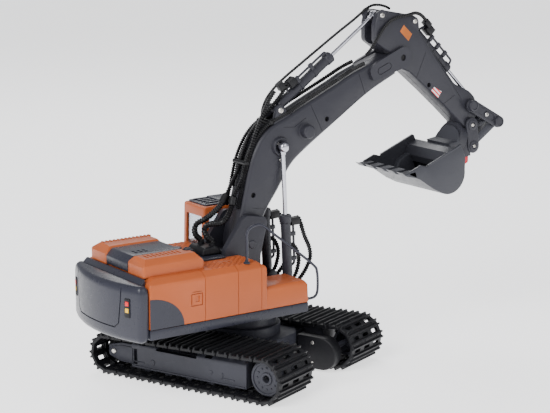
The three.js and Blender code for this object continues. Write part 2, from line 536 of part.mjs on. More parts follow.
const linkOutline = capsule(LINK_FOOT, ROCKER_TIP, 3.4, 3.4);
const linkBar = join(sideways(linkOutline, 4, 9.8), sideways(linkOutline, -9.8, -4),
  sideways(capsule(blend(LINK_FOOT, ROCKER_TIP, 0.3), blend(LINK_FOOT, ROCKER_TIP, 0.6), 2.6, 2.6),
    -5, 5));
piece('bucket_link', cut(linkBar, crossBar(LINK_FOOT, SPIGOT + LINK_PLAY, -30, 30),
  crossBar(ROCKER_TIP, BORE, -30, 30)), armGrey());

const couplerPlate = capsule(LINK_FOOT, ARM_END, 6.2, 6.2);
function drum(radius, length, x, z) {
  const geometry = new THREE.CylinderGeometry(radius, radius, length, 24).rotateZ(Math.PI / 2);
  return solid(geometry.rotateY(THREE.MathUtils.degToRad(-24.6)).translate(x, 0, z));
}
const couplerDrum = drum(15, 9, 212.4, 164.4);
const couplerSides = [-1, 1].map((side) =>
  sideways(couplerPlate, ...across(side, ARM_HALF + GAP, ARM_HALF + 3)));
const couplerCore = cut(sideways([[214.8, 149], [223, 150], [221.6, 165], [217, 170], [210, 172]],
  -ARM_HALF - 2, ARM_HALF + 2));
const armSweep = crossBar(ARM_END, 8.4, -ARM_HALF - GAP, ARM_HALF + GAP);
const linkSweep = crossBar(LINK_FOOT, 5.4, -ARM_HALF - GAP, ARM_HALF + GAP);
const coupler = cut(join(couplerDrum, couplerCore, couplerSides), armSweep, linkSweep,
  crossBar(ARM_END, BORE, -30, 30));
const couplerSpigots = [-1, 1].map((side) =>
  crossBar(LINK_FOOT, SPIGOT, ...across(side, 4.2, ARM_HALF + 1), 8));
piece('quick_coupler', join(coupler, couplerSpigots), armGrey());

// pins with their screw heads
const pins = {
  boom_foot_pin: [BOOM_PIVOT, 18.6], arm_pivot_pin: [ARM_PIVOT, 16.6],
  coupler_pin: [ARM_END, 14.6],
};
for (const [name, [at, reach]] of Object.entries(pins)) {
  const heads = [-1, 1].map((side) =>
    crossBar(at, 2.6, ...across(side, reach - 0.7, reach + 0.6)));
  piece(name, join(crossBar(at, PIN, -reach, reach), heads), steel());
}

// ---------------------------------------------------------------- bucket
const bucketOutline = [[195.3, 164.6], [159, 150.2], [152.7, 151.9], [142, 147.8], [139.5, 145],
  [152, 140], [166.9, 130.4], ...arc([183.4, 141.2], 16.9, -118, 8, 10), [200.2, 153.9]];
const bucketCavity = [[196.5, 168], [140, 151], [136, 146], [152.8, 142.4], [167.8, 132.4],
  ...arc([183.2, 141.4], 14.9, -116, 6, 9), [198, 153.6]];
const bucketShell = cut(sideways(bucketOutline, -BUCKET_HALF, BUCKET_HALF),
  sideways(bucketCavity, -BUCKET_HALF + 2, BUCKET_HALF - 2));
const bucketTeeth = [-26, -13, 0, 13, 26].map((y) =>
  sideways([[146, 146.6], [137, 145.6], [133.6, 146.8], [137.4, 143.8], [148, 141.6]],
    y - 3.2, y + 3.2));
const ledge = sideways([[196.6, 163], [199, 157], [199.6, 150], [205, 148.6], [208, 160],
  [206, 164.4]], -15, 15);
const flange = drum(15, 3.4, 206.4, 161.6);
piece('bucket', join(bucketShell, bucketTeeth, ledge, flange), deckGrey());
piece('release_tab', block(218.5, 228, -4, 4, 140.5, 148.6), red());

// ---------------------------------------------------------------- cylinders
function cylinder(name, base, eye, y, size) {
  const length = Math.hypot(eye[0] - base[0], eye[1] - base[1]);
  const at = (distance) => {
    const [x, z] = blend(base, eye, distance / length);
    return [x, y, z];
  };
  const { barrel, mouth, bore, rodRadius, tip, baseEye, rodEye } = size;
  const tube = join(rod(at(baseEye - 0.6), at(mouth), barrel),
    rod(at(mouth - 4), at(mouth + 0.2), barrel + 0.8), crossBar(base, baseEye, y - 3, y + 3));
  piece(`${name}_barrel`, cut(tube, rod(at(baseEye + 1.5), at(mouth + 5), bore),
    crossBar(base, BORE, y - 9, y + 9)), armGrey());
  const chromeRod = join(rod(at(tip), at(length - rodEye + 0.6), rodRadius),
    crossBar(eye, rodEye, y - 3, y + 3));
  piece(`${name}_rod`, cut(chromeRod, crossBar(eye, BORE, y - 9, y + 9)), chrome());
}
// distances along a cylinder are from the barrel's pin
const lift = { barrel: 4, mouth: 54, bore: 2.8, rodRadius: 1.8, tip: 34, baseEye: 4.2, rodEye: 3.4 };
cylinder('lift_cylinder_right', LIFT_BASE, LIFT_EYE, -LIFT_SIDE, lift);
cylinder('lift_cylinder_left', LIFT_BASE, LIFT_EYE, LIFT_SIDE, lift);
cylinder('arm_cylinder', ARM_CYL_BASE, ARM_CYL_EYE, 0,
  { barrel: 3.9, mouth: 66, bore: 3.2, rodRadius: 1.5, tip: 42, baseEye: 3.2, rodEye: 3.2 });
cylinder('bucket_cylinder', BUCKET_CYL_BASE, ROCKER_TIP, 0,
  { barrel: 3.4, mouth: 62, bore: 2.3, rodRadius: 1.6, tip: 36, baseEye: 3.2, rodEye: 3.2 });

// ---------------------------------------------------------------- hoses
// the routes are lists of points along each hose
const baseHoses = {
  left: [[-37.6, 3.5, 106.6], [-38.2, 3.5, 108.4], [-43, 3, 113], [-44.5, 2, 118], [-42.5, 1, 122.4],
    [-37, 0.5, 124.4], [-28, 1, 128.8], [-19.5, 2.5, 134.6], [-13.6, 4.2, 141]],
  right: [[-34, -6.5, 106.6], [-34.4, -6.5, 108.4], [-39, -6.5, 113], [-41, -6.5, 118],
    [-38.5, -6.5, 121.6], [-33, -6.5, 122.2], [-25, -6, 122], [-19, -5.5, 126], [-14.5, -4.6, 134],
    [-12.4, -4.4, 141]],
};
for (const [hand, route] of Object.entries(baseHoses)) {
  piece(`base_hose_${hand}`, hose(route, 2, 22, 6), hoseBlack());
}
const hoseLine = (y, lift) => [[112, 233.7], ...boomUpper.slice(1, -1)].reverse().map(([x, z], i, line) => {
  const [xa, za] = line[Math.max(i - 1, 0)];
  const [xb, zb] = line[Math.min(i + 1, line.length - 1)];
  const length = Math.hypot(xb - xa, zb - za);
  return [x - (zb - za) / length * lift, y, z + (xb - xa) / length * lift];
});
const clamps = [1, 4].map((i) => {
  const [x, , z] = hoseLine(0, 2.6)[i];
  return rod([x, -8, z], [x, 8, z], 1.1, 8);
});
piece('boom_hoses', join([-8.4, 8.4].map((y) => solid(hose(hoseLine(y, 2.8), HOSE, 22, 6))),
  clamps), hoseBlack());
piece('arm_cylinder_hose', hose([[20, 4.6, 199.5], [21, 4.6, 206], [25, 4.4, 214], [32, 4, 221.6],
  [41.4, 3.2, 229.2], [56, 3, 238.5], [90, 3, 259.5], [108, 3.2, 270], [116, 3.4, 275],
  [122, 3.6, 278.8], [128, 3.4, 281], [134, 2.6, 281], [139.6, 1.6, 279.6], [143.6, 1, 277.6]],
1.2, 34, 6), hoseBlack());
piece('arm_hoses', hose([[112, -9, 242.8], [114.6, -11, 246.6], [118, -12.8, 252.6],
  [122, -12.8, 258], [127.4, -12.6, 264], [134.5, -12.4, 269.2], [143.7, -12.4, 272],
  [154, -12.2, 273.3], [161, -10.6, 274], [167.8, -8.6, 272.4], [173, -7, 269.4],
  [177.6, -5.6, 266]], 1.4, 32, 6), hoseBlack());

// motors inside the boom and the arm
piece('arm_motor', crossBar([100, 215], 7, -8.4, 8.4, 16), steel());
piece('bucket_motor', crossBar([146, 252], 7, -8.4, 8.4, 16), steel());

// ---------------------------------------------------------------- stand on the base centre
excavator.updateMatrixWorld(true);
const extent = new THREE.Box3().setFromObject(excavator, true);
excavator.position.set(-(extent.min.x + extent.max.x) / 2, -(extent.min.y + extent.max.y) / 2,
  -extent.min.z);

export default excavator;
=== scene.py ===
"""Looks of a remote-control tracked excavator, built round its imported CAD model.

Everything is modelled in millimetres about the slew axis at ground level, with +X along the
boom, +Y towards the cab and +Z up, and then carried into the frame.
"""
import json
import math

import bmesh
import bpy
from mathutils import Matrix, Vector


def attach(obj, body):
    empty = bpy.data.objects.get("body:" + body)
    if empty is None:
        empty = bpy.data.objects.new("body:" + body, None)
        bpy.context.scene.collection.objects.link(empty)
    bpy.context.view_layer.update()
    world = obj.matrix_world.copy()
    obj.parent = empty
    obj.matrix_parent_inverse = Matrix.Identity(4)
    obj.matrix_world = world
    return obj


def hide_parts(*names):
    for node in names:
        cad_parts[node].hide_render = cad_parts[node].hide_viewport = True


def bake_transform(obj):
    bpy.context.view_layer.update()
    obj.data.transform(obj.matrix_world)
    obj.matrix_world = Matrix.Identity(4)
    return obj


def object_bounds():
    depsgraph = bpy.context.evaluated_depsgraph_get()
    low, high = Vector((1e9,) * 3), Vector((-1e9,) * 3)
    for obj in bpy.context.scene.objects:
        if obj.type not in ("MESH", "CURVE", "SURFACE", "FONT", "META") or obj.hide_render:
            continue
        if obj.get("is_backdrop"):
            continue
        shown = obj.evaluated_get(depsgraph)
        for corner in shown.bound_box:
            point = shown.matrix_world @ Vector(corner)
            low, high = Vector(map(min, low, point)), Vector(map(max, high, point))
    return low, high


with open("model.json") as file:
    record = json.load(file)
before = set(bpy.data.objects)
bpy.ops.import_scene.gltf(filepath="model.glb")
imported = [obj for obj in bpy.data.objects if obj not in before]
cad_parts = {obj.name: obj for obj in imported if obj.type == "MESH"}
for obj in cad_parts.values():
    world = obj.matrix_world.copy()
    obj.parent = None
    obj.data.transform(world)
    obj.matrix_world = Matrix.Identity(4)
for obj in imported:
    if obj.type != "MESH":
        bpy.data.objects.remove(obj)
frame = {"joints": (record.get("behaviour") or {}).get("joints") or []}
cad_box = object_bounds()

UNDERCARRIAGE_TURN = -67.5             # degrees about the slew axis at rest
SLEW = Vector(next(j for j in frame["joints"] if j["name"] == "slew")["pos_m"])
MACHINE = Matrix.Translation((SLEW.x, SLEW.y, 0)) @ Matrix.Scale(0.001, 4)
UNDERCARRIAGE = MACHINE @ Matrix.Rotation(math.radians(UNDERCARRIAGE_TURN), 4, "Z")

# ------------------------------------------------------------------ driving dimensions, mm
TRACK_CENTRE, TRACK_WIDTH = 53.2, 47
SPROCKET = {"x": 65, "z": 18.8, "outer": 18.8}
IDLER = {"x": -80, "z": 16.6, "outer": 16.6}
PAD_COUNT, PAD_DEPTH, PAD_START = 36, 4.3, 0.43   # a pad over its bars; the first one's place
ROLLER = (17, 26.6)
FRAME_FACE, FRAME_TOP = 67, 31.6
DECK_BOTTOM, DECK_TOP, SHOULDER, COVER_TOP, LOW_TOP = 52.4, 60, 94, 97.5, 77.6
HALF_WIDTH, REAR, SPLIT, FRONT, STEP = 50, -124, -116, 27, -12
REAR_BULGE = 11
HOOD = {"back": -115, "front": -62, "half": 40, "band": 16, "top": 110}
CAB = {"back": -26, "front": 27, "inner": 18.6, "outer": 49.5, "top": 129.5, "roof": 133}
BOOM_PIVOT, ARM_PIVOT, ARM_END = (-4, 104), (147.4, 238.7), (223.2, 176.4)
LINK_FOOT, ROCKER_PIVOT, ROCKER_TIP = (225.3, 158.2), (222.6, 193), (252.6, 176.6)
LIFT_BASE, LIFT_EYE, LIFT_SIDE = (32, 69), (27, 177.3), 14.3
ARM_CYL_BASE, ARM_CYL_EYE, BUCKET_CYL_BASE = (29.5, 205), (126.9, 274), (161, 267.3)
BOOM_HALF = ARM_HALF = 10.5


# ------------------------------------------------------------------ outlines
def arc(centre, radius, start, end, steps):
    """Points on an arc, angles in degrees."""
    angles = [math.radians(start + (end - start) * k / steps) for k in range(steps + 1)]
    return [(centre[0] + radius * math.cos(a), centre[1] + radius * math.sin(a)) for a in angles]


def mix(a, b, t):
    return tuple(p + (q - p) * t for p, q in zip(a, b))


def rounded(points, radius, steps=4):
    """The outline with each corner rounded."""
    result = []
    for i, corner in enumerate(points):
        here = Vector(corner)
        back, ahead = Vector(points[i - 1]) - here, Vector(points[(i + 1) % len(points)]) - here
        reach = min(radius, back.length * 0.45, ahead.length * 0.45)
        start, end = here + back.normalized() * reach, here + ahead.normalized() * reach
        for k in range(steps + 1):
            t = k / steps
            result.append(tuple(start * (1 - t) ** 2 + here * 2 * t * (1 - t) + end * t ** 2))
    return result


def anticlockwise(points):
    area = sum(a[0] * b[1] - b[0] * a[1] for a, b in zip(points, points[1:] + points[:1]))
    return list(points) if area > 0 else list(reversed(points))


def inset(points, distance):
    """An anticlockwise outline moved inwards."""
    result = []
    for i, corner in enumerate(points):
        here = Vector(corner)
        a = (here - Vector(points[i - 1])).normalized()
        b = (Vector(points[(i + 1) % len(points)]) - here).normalized()
        stretch = distance / max(0.3, 1 + a.dot(b))
        result.append((here.x - (a.y + b.y) * stretch, here.y + (a.x + b.x) * stretch))
    return result


def rectangle(x0, x1, y0, y1):
    return [(x0, y0), (x1, y0), (x1, y1), (x0, y1)]


def capsule(a, b, ra, rb, steps=12):
    angle = math.degrees(math.atan2(b[1] - a[1], b[0] - a[0]))
    return (arc(b, rb, angle - 90, angle + 90, steps) +
            arc(a, ra, angle + 90, angle + 270, steps))


# ------------------------------------------------------------------ bodies
PLACE = {"x": lambda a, b, c: (c, a, b), "y": lambda a, b, c: (a, c, b),
         "z": lambda a, b, c: (a, b, c)}


def stack(rings, closed=False):
    """A body through rings of equally many points, with its ends capped unless it closes."""
    body = bmesh.new()
    loops = [[body.verts.new(point) for point in ring] for ring in rings]
    count = len(loops[0])
    pairs = list(zip(loops, loops[1:])) + ([(loops[-1], loops[0])] if closed else [])
    for low, high in pairs:
        for i in range(count):
            j = (i + 1) % count
            body.faces.new((low[i], low[j], high[j], high[i]))
    if not closed:
        body.faces.new(loops[0][::-1])
        body.faces.new(loops[-1])
    bmesh.ops.recalc_face_normals(body, faces=body.faces)
    return body


def slab(points, low, high, along="y", edge=0.4, steps=2, far_edge=None):
    """An outline carried along an axis, its rims rounded off."""
    points = anticlockwise(points)
    place = PLACE[along]
    far = edge if far_edge is None else far_edge
    levels = []
    for k in range(steps + 1 if edge else 1):
        turn = math.pi / 2 * k / steps
        levels.append((edge * (1 - math.sin(turn)), low + edge * (1 - math.cos(turn))))
    for k in reversed(range(steps + 1 if far else 1)):
        turn = math.pi / 2 * k / steps
        levels.append((far * (1 - math.sin(turn)), high - far * (1 - math.cos(turn))))
    return stack([[place(a, b, level) for a, b in (inset(points, drop) if drop else points)]
                  for drop, level in levels])


def block(x0, x1, y0, y1, z0, z1, edge=0.3):
    return slab(rectangle(x0, x1, y0, y1), z0, z1, "z", edge)


def lathe(profile, centre, along="y", sides=40, closed=False):
    """A round body from (radius, distance) pairs about the axis through the centre."""
    place = PLACE[along]
    turns = [2 * math.pi * k / sides for k in range(sides)]
    return stack([[place(centre[0] + r * math.cos(t), centre[1] + r * math.sin(t), d)
                   for t in turns] for r, d in profile], closed)


def drum(centre, radius, low, high, along="y", edge=0.4, sides=40):
    return lathe([(radius - edge, low), (radius, low + edge), (radius, high - edge),
                  (radius - edge, high)], centre, along, sides)


def smooth_path(points, step):
    """Points about a step apart along a smooth curve through the given points."""
    knots = [Vector(p) for p in points]
    ends = [knots[0] * 2 - knots[1]] + knots + [knots[-1] * 2 - knots[-2]]
    path = []
    for a, b, c, d in zip(ends, ends[1:], ends[2:], ends[3:]):
        count = max(1, round((c - b).length / step))
        for k in range(count):
            t = k / count
            path.append((b * 2 + (c - a) * t + (a * 2 - b * 5 + c * 4 - d) * t ** 2 +
                         (b * 3 - a - c * 3 + d) * t ** 3) / 2)
    return path + [knots[-1]]


def tube(points, radius, sides=12, step=1.5, ridge=0.0):
    """A tube along a smooth curve; with a ridge its wall is ribbed like a sheathed hose."""
    path = smooth_path(points, step)
    side = (path[1] - path[0]).orthogonal().normalized()
    rings = []
    for i, here in enumerate(path):
        ahead = (path[min(i + 1, len(path) - 1)] - path[max(i - 1, 0)]).normalized()
        side = (side - ahead * side.dot(ahead)).normalized()
        up = ahead.cross(side)
        r = radius - (ridge if i % 4 == 0 else ridge * 0.5 if i % 2 else 0)
        rings.append([tuple(here + (side * math.cos(t) + up * math.sin(t)) * r)
                      for t in (2 * math.pi * k / sides for k in range(sides))])
    return stack(rings)


def rod(a, b, radius, sides=32, edge=0.3):
    """A straight round bar between two points."""
    start, end = Vector(a), Vector(b)
    along = (end - start).normalized()
    side = along.orthogonal().normalized()
    up = along.cross(side)
    rings = []
    for r, at in ((radius - edge, start), (radius, start + along * edge),
                  (radius, end - along * edge), (radius - edge, end)):
        rings.append([tuple(at + (side * math.cos(t) + up * math.sin(t)) * r)
                      for t in (2 * math.pi * k / sides for k in range(sides))])
    return stack(rings)


def merge(*bodies):
    """One body holding all the given ones, which are used up."""
    result = bmesh.new()
    for body in flat(bodies):
        mesh = bpy.data.meshes.new("part")
        body.to_mesh(mesh)
        body.free()
        result.from_mesh(mesh)
        bpy.data.meshes.remove(mesh)
    return result


def flat(items):
    for item in items:
        if isinstance(item, (list, tuple)):
            yield from flat(item)
        else:
            yield item


def moved(body, matrix):
    bmesh.ops.transform(body, matrix=matrix, verts=body.verts)
    return body


def copies(body, matrices):
    """The body repeated at each matrix."""
    mesh = bpy.data.meshes.new("part")
    body.to_mesh(mesh)
    body.free()
    result = bmesh.new()
    for matrix in matrices:
        single = mesh.copy()
        single.transform(matrix)
        result.from_mesh(single)
        bpy.data.meshes.remove(single)
    bpy.data.meshes.remove(mesh)
    return result


def loose_object(body):
    mesh = bpy.data.meshes.new("work")
    body.to_mesh(mesh)
    body.free()
    made = bpy.data.objects.new("work", mesh)
    bpy.context.scene.collection.objects.link(made)
    return made


def combine(body, tools, operation):
    base, tool = loose_object(body), loose_object(merge(*tools))
    step = base.modifiers.new("combine", "BOOLEAN")
    step.object, step.operation, step.solver, step.use_self = tool, operation, "EXACT", True
    shaped = base.evaluated_get(bpy.context.evaluated_depsgraph_get())
    mesh = bpy.data.meshes.new_from_object(shaped)
    result = bmesh.new()
    result.from_mesh(mesh)
    for made in (base, tool):
        spare = made.data
        bpy.data.objects.remove(made)
        bpy.data.meshes.remove(spare)
    bpy.data.meshes.remove(mesh)
    return result


def cut(body, *tools):
    return combine(body, tools, "DIFFERENCE")


def joined(body, *others):
    return combine(body, others, "UNION")


def across(side, a, b):
    return (a, b) if side > 0 else (-b, -a)


def sided(points, side):
    """(y, z) points for one side of the machine."""
    return [(side * y, z) for y, z in points]


def piece(name, body, rides_on, look, slot, replaces=(), space=MACHINE, sharp=35):
    """The body as a finished object in the frame."""
    mesh = bpy.data.meshes.new(name)
    bmesh.ops.remove_doubles(body, verts=body.verts, dist=1e-4)
    body.to_mesh(mesh)
    body.free()
    mesh.transform(space)
    mesh.materials.append(look)
    mesh.polygons.foreach_set("use_smooth", [True] * len(mesh.polygons))
    mesh.set_sharp_from_angle(angle=math.radians(sharp))
    made = bpy.data.objects.new(name, mesh)
    bpy.context.scene.collection.objects.link(made)
    if replaces:
        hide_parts(*replaces)
    if isinstance(rides_on, tuple):
        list(rides_on)
        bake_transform(made)
    else:
        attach(made, rides_on)
    return made


# ------------------------------------------------------------------ materials
def surface(name):
    """An empty node material: (material, nodes, links, shader, object coordinates)."""
    look = bpy.data.materials.new(name)
    look.use_nodes = True
    nodes, links = look.node_tree.nodes, look.node_tree.links
    shader = nodes["Principled BSDF"]
    place = nodes.new("ShaderNodeTexCoord").outputs["Object"]
    return look, nodes, links, shader, place


def noise(nodes, links, place, scale, detail=3.0):
    node = nodes.new("ShaderNodeTexNoise")
    node.inputs["Scale"].default_value = scale
    node.inputs["Detail"].default_value = detail
    links.new(place, node.inputs["Vector"])
    return node.outputs["Fac"]


def spread(nodes, links, value, low, high):
    """A value between the two limits."""
    node = nodes.new("ShaderNodeMapRange")
    node.inputs["From Min"].default_value, node.inputs["From Max"].default_value = 0.3, 0.7
    node.inputs["To Min"].default_value, node.inputs["To Max"].default_value = low, high
    links.new(value, node.inputs["Value"])
    return node.outputs["Result"]


def toned(nodes, links, value, colour, swing):
    """The colour, lighter and darker by the swing."""
    ramp = nodes.new("ShaderNodeValToRGB")
    low, high = ramp.color_ramp.elements
    low.position, high.position = 0.3, 0.7
    low.color = [c * (1 - swing) for c in colour] + [1]
    high.color = [min(1, c * (1 + swing)) for c in colour] + [1]
    links.new(value, ramp.inputs["Fac"])
    return ramp.outputs["Color"]


def moulded(name, colour, roughness, swing=0.06, grain=1500, relief=0.12, metallic=0.0):
    """Moulded plastic or rubber: a fine grain, a slow drift of tone and an uneven gloss."""
    look, nodes, links, shader, place = surface(name)
    drift = noise(nodes, links, place, 45)
    links.new(toned(nodes, links, drift, colour, swing), shader.inputs["Base Color"])
    patches = noise(nodes, links, place, 260, 4)
    links.new(spread(nodes, links, patches, roughness - 0.05, roughness + 0.06),
              shader.inputs["Roughness"])
    bump = nodes.new("ShaderNodeBump")
    bump.inputs["Strength"].default_value = relief
    bump.inputs["Distance"].default_value = 0.0002
    links.new(noise(nodes, links, place, grain, 2), bump.inputs["Height"])
    links.new(bump.outputs["Normal"], shader.inputs["Normal"])
    shader.inputs["Metallic"].default_value = metallic
    shader.inputs["Specular IOR Level"].default_value = 0.5 if metallic else 0.32
    return look


def tinted(name, colour):
    """Clear tinted plastic."""
    look, nodes, links, shader, place = surface(name)
    haze = noise(nodes, links, place, 120)
    links.new(toned(nodes, links, haze, colour, 0.08), shader.inputs["Base Color"])
    links.new(spread(nodes, links, haze, 0.02, 0.06), shader.inputs["Roughness"])
    shader.inputs["Transmission Weight"].default_value = 0.94
    shader.inputs["IOR"].default_value = 1.45
    return look


def striped(name, first, second, direction, width):
    """Printed stripes of two colours, square to the direction."""
    look, nodes, links, shader, place = surface(name)
    along = nodes.new("ShaderNodeVectorMath")
    along.operation = "DOT_PRODUCT"
    along.inputs[1].default_value = Vector(direction).normalized()
    links.new(place, along.inputs[0])
    wave = nodes.new("ShaderNodeMath")
    wave.operation = "PINGPONG"
    wave.inputs[1].default_value = width
    links.new(along.outputs["Value"], wave.inputs[0])
    ramp = nodes.new("ShaderNodeValToRGB")
    ramp.color_ramp.interpolation = "CONSTANT"
    low, high = ramp.color_ramp.elements
    low.color, high.color = [*first, 1], [*second, 1]
    high.position = 0.5
    share = nodes.new("ShaderNodeMath")
    share.operation = "DIVIDE"
    share.inputs[1].default_value = width
    links.new(wave.outputs[0], share.inputs[0])
    links.new(share.outputs[0], ramp.inputs["Fac"])
    links.new(ramp.outputs["Color"], shader.inputs["Base Color"])
    links.new(spread(nodes, links, noise(nodes, links, place, 300), 0.35, 0.5),
              shader.inputs["Roughness"])
    return look


ORANGE = moulded("orange_plastic", (0.44, 0.098, 0.026), 0.36, 0.035)
DECK = moulded("deck_plastic", (0.026, 0.027, 0.039), 0.30)
ARM = moulded("arm_plastic", (0.026, 0.026, 0.034), 0.42)
BUCKET = moulded("bucket_plastic", (0.040, 0.041, 0.050), 0.36)
FRAME = moulded("frame_plastic", (0.034, 0.035, 0.046), 0.46)
TRACK = moulded("track_rubber", (0.005, 0.005, 0.007), 0.5, 0.2, 900, 0.3)
HOSE = moulded("hose_rubber", (0.004, 0.004, 0.005), 0.42, 0.15)
CHROME = moulded("bright_rod", (0.52, 0.52, 0.57), 0.24, 0.03, 3000, 0.03, 1.0)
STEEL = moulded("screw_steel", (0.60, 0.58, 0.54), 0.28, 0.08, 2500, 0.08, 1.0)
GLASS = tinted("tinted_glass", (0.74, 0.77, 0.82))
RED = moulded("red_plastic", (0.62, 0.012, 0.030), 0.35, 0.05)
LENS_RED = moulded("lens_red", (0.72, 0.015, 0.02), 0.2, 0.06)
LENS_YELLOW = moulded("lens_yellow", (0.85, 0.50, 0.02), 0.2, 0.05)
# painted shade: a near-black material for discs set inside holes, standing in for the shade in their depth
HOLE_SHADE = moulded("painted_hole_shade", (0.006, 0.006, 0.007), 0.6, 0.2)
BOARD = moulded("circuit_board", (0.02, 0.13, 0.06), 0.45, 0.2)
BATTERY = moulded("battery_wrap", (0.02, 0.022, 0.03), 0.3, 0.1)
STICKER = moulded("orange_sticker", (0.42, 0.11, 0.015), 0.4, 0.3)
HAZARD = striped("hazard_sticker", (0.75, 0.02, 0.03), (0.8, 0.8, 0.8), (0.9, 0, 1), 0.0013)

# ------------------------------------------------------------------ undercarriage
RUN = SPROCKET["x"] - IDLER["x"]
LEAN = (math.atan2(SPROCKET["z"] - IDLER["z"], RUN) +
        math.asin((SPROCKET["outer"] - IDLER["outer"]) / math.hypot(RUN, 2)))


def on_loop(share, depth):
    """Place on the track's loop and the heading of its run there, at a depth below its tips."""
    lengths = [RUN, (math.pi + LEAN) * SPROCKET["outer"], RUN * math.cos(LEAN),
               (math.pi - LEAN) * IDLER["outer"]]
    left = share * sum(lengths)
    if left < lengths[0]:
        return (IDLER["x"] + left, depth), 0.0
    left -= lengths[0]

    def about(wheel, angle):
        r = wheel["outer"] - depth
        return (wheel["x"] + r * math.cos(angle), wheel["z"] + r * math.sin(angle))
    if left < lengths[1]:
        angle = -math.pi / 2 + left / SPROCKET["outer"]
        return about(SPROCKET, angle), angle + math.pi / 2
    left -= lengths[1]
    if left < lengths[2]:
        high, low = about(SPROCKET, math.pi / 2 + LEAN), about(IDLER, math.pi / 2 + LEAN)
        return mix(high, low, left / lengths[2]), math.pi + LEAN
    angle = math.pi / 2 + LEAN + (left - lengths[2]) / IDLER["outer"]
    return about(IDLER, angle), angle + math.pi / 2


def track_pad():
    """One pad with twin grousers, hinge knuckles and mud slots; x along the run, -z outwards."""
    profile = [(-5.1, 0), (5.1, 0), (5.1, -2.0), (4.3, -2.5), (3.9, -4.3), (2.7, -4.3),
               (2.1, -2.5), (-2.1, -2.5), (-2.7, -4.3), (-3.9, -4.3), (-4.3, -2.5), (-5.1, -2.0)]
    half = TRACK_WIDTH / 2
    plate = slab(profile, -half, half, "y", 0.5, 1)
    slots = [block(-1.5, 1.5, y - 4.2, y + 4.2, -5, 1, 0) for y in (-14.5, 0, 14.5)]
    lugs = [block(-2.4, 2.4, y - 1.3, y + 1.3, -0.5, 1.5, 0.5) for y in (-8.5, 8.5)]
    knuckles = [drum((5.57, -1.1), 1.4, y - 3.4, y + 3.4, "y", 0.3, 12) for y in (-18.5, 0, 18.5)]
    return merge(cut(plate, *slots), lugs, knuckles)


def track(side):
    matrices = []
    for k in range(PAD_COUNT):
        (x, z), heading = on_loop((k + PAD_START) / PAD_COUNT, PAD_DEPTH)
        matrices.append(Matrix.Translation((x, side * TRACK_CENTRE, z)) @
                        Matrix.Rotation(-heading, 4, "Y"))
    return copies(track_pad(), matrices)


def side_frame(side):
    section = [(43, 6.6), (FRAME_FACE, 6.6), (FRAME_FACE, 25.5), (FRAME_FACE - 7.5, FRAME_TOP),
               (43, FRAME_TOP)]
    body = slab(rounded(sided(section, side), 1.2), -62, 46.5, "x", 0.8)
    under_belt = slab([(-70, 28.6), (50, 32.2), (50, 60), (-70, 60)], -90, 90, "y", 0)
    pocket = block(-38, 0.5, *across(side, 58, 72), 23.5, 40, 0)
    roller_well = block(ROLLER[0] - 5.4, ROLLER[0] + 5.4, *across(side, 46.4, 61.6), 21.6, 40, 0)
    slots = [block(x, x + 6.5, *across(side, 60.5, 80), 25.6, 27.6, 0) for x in (-55, 8)]
    end_well = block(-66, -56, *across(side, 62, 72), 9.5, 22, 0)
    body = cut(body, under_belt, pocket, roller_well, *slots, end_well)
    face = across(side, FRAME_FACE - 0.4, FRAME_FACE + 0.5)
    rim = rounded(rectangle(-36.5, -1, 22.6, 30.4), 0.8, 2)
    box = cut(slab(rim, *across(side, 57, 61.6), "y", 0.4),
              slab(inset(rim, 1.6), *across(side, 60.6, 63), "y", 0))
    marks = [block(24, 36, *face, 11.4, 12.6, 0.2), block(24, 25.2, *face, 11.4, 16.4, 0.2),
             block(-60, -49, *face, 11.4, 12.4, 0.2), block(-60, -59, *face, 11.4, 16.4, 0.2),
             drum((-41, 13.6), 2.2, *face, "y", 0.3), drum((14, 15.2), 1.7, *face, "y", 0.3)]
    skirt = block(-60.5, 45.5, *across(side, FRAME_FACE - 1, FRAME_FACE + 0.6), 7.0, 8.6, 0.3)
    lugs = [slab(rounded([(x - 4, 7), (x - 2.6, 4.6), (x + 2.6, 4.6), (x + 4, 7)], 0.6, 2),
                 *across(side, 44, FRAME_FACE - 2), "y", 0.4) for x in (-48, -28, -8, 12, 32)]
    fork = slab(rounded([(-61, 8.4), (-61, 24.4), (-73, 24.4), (-86, 21), (-86, 12.2), (-73, 8.4)],
                        2.5), *across(side, 60.6, 65), "y", 0.7)
    plate = slab(rounded([(-62, 10.6), (-62, 22.2), (-73, 22.2), (-83.4, 19.4), (-83.4, 13.8),
                          (-73, 10.6)], 2), *across(side, 64.5, 65.7), "y", 0.4)
    axle = drum((IDLER["x"], IDLER["z"]), 2.6, *across(side, 47, 61), "y", 0.3)
    roller_axle = drum(ROLLER, 1.2, *across(side, 46, 62), "y", 0.2)
    return merge(body, box, marks, skirt, lugs, fork, plate, axle, roller_axle)


def wheel(profile, centre, side):
    """A round piece of the running gear from (radius, distance out from the middle) pairs."""
    return lathe([(r, side * d) for r, d in profile], centre, "y", 56, True)


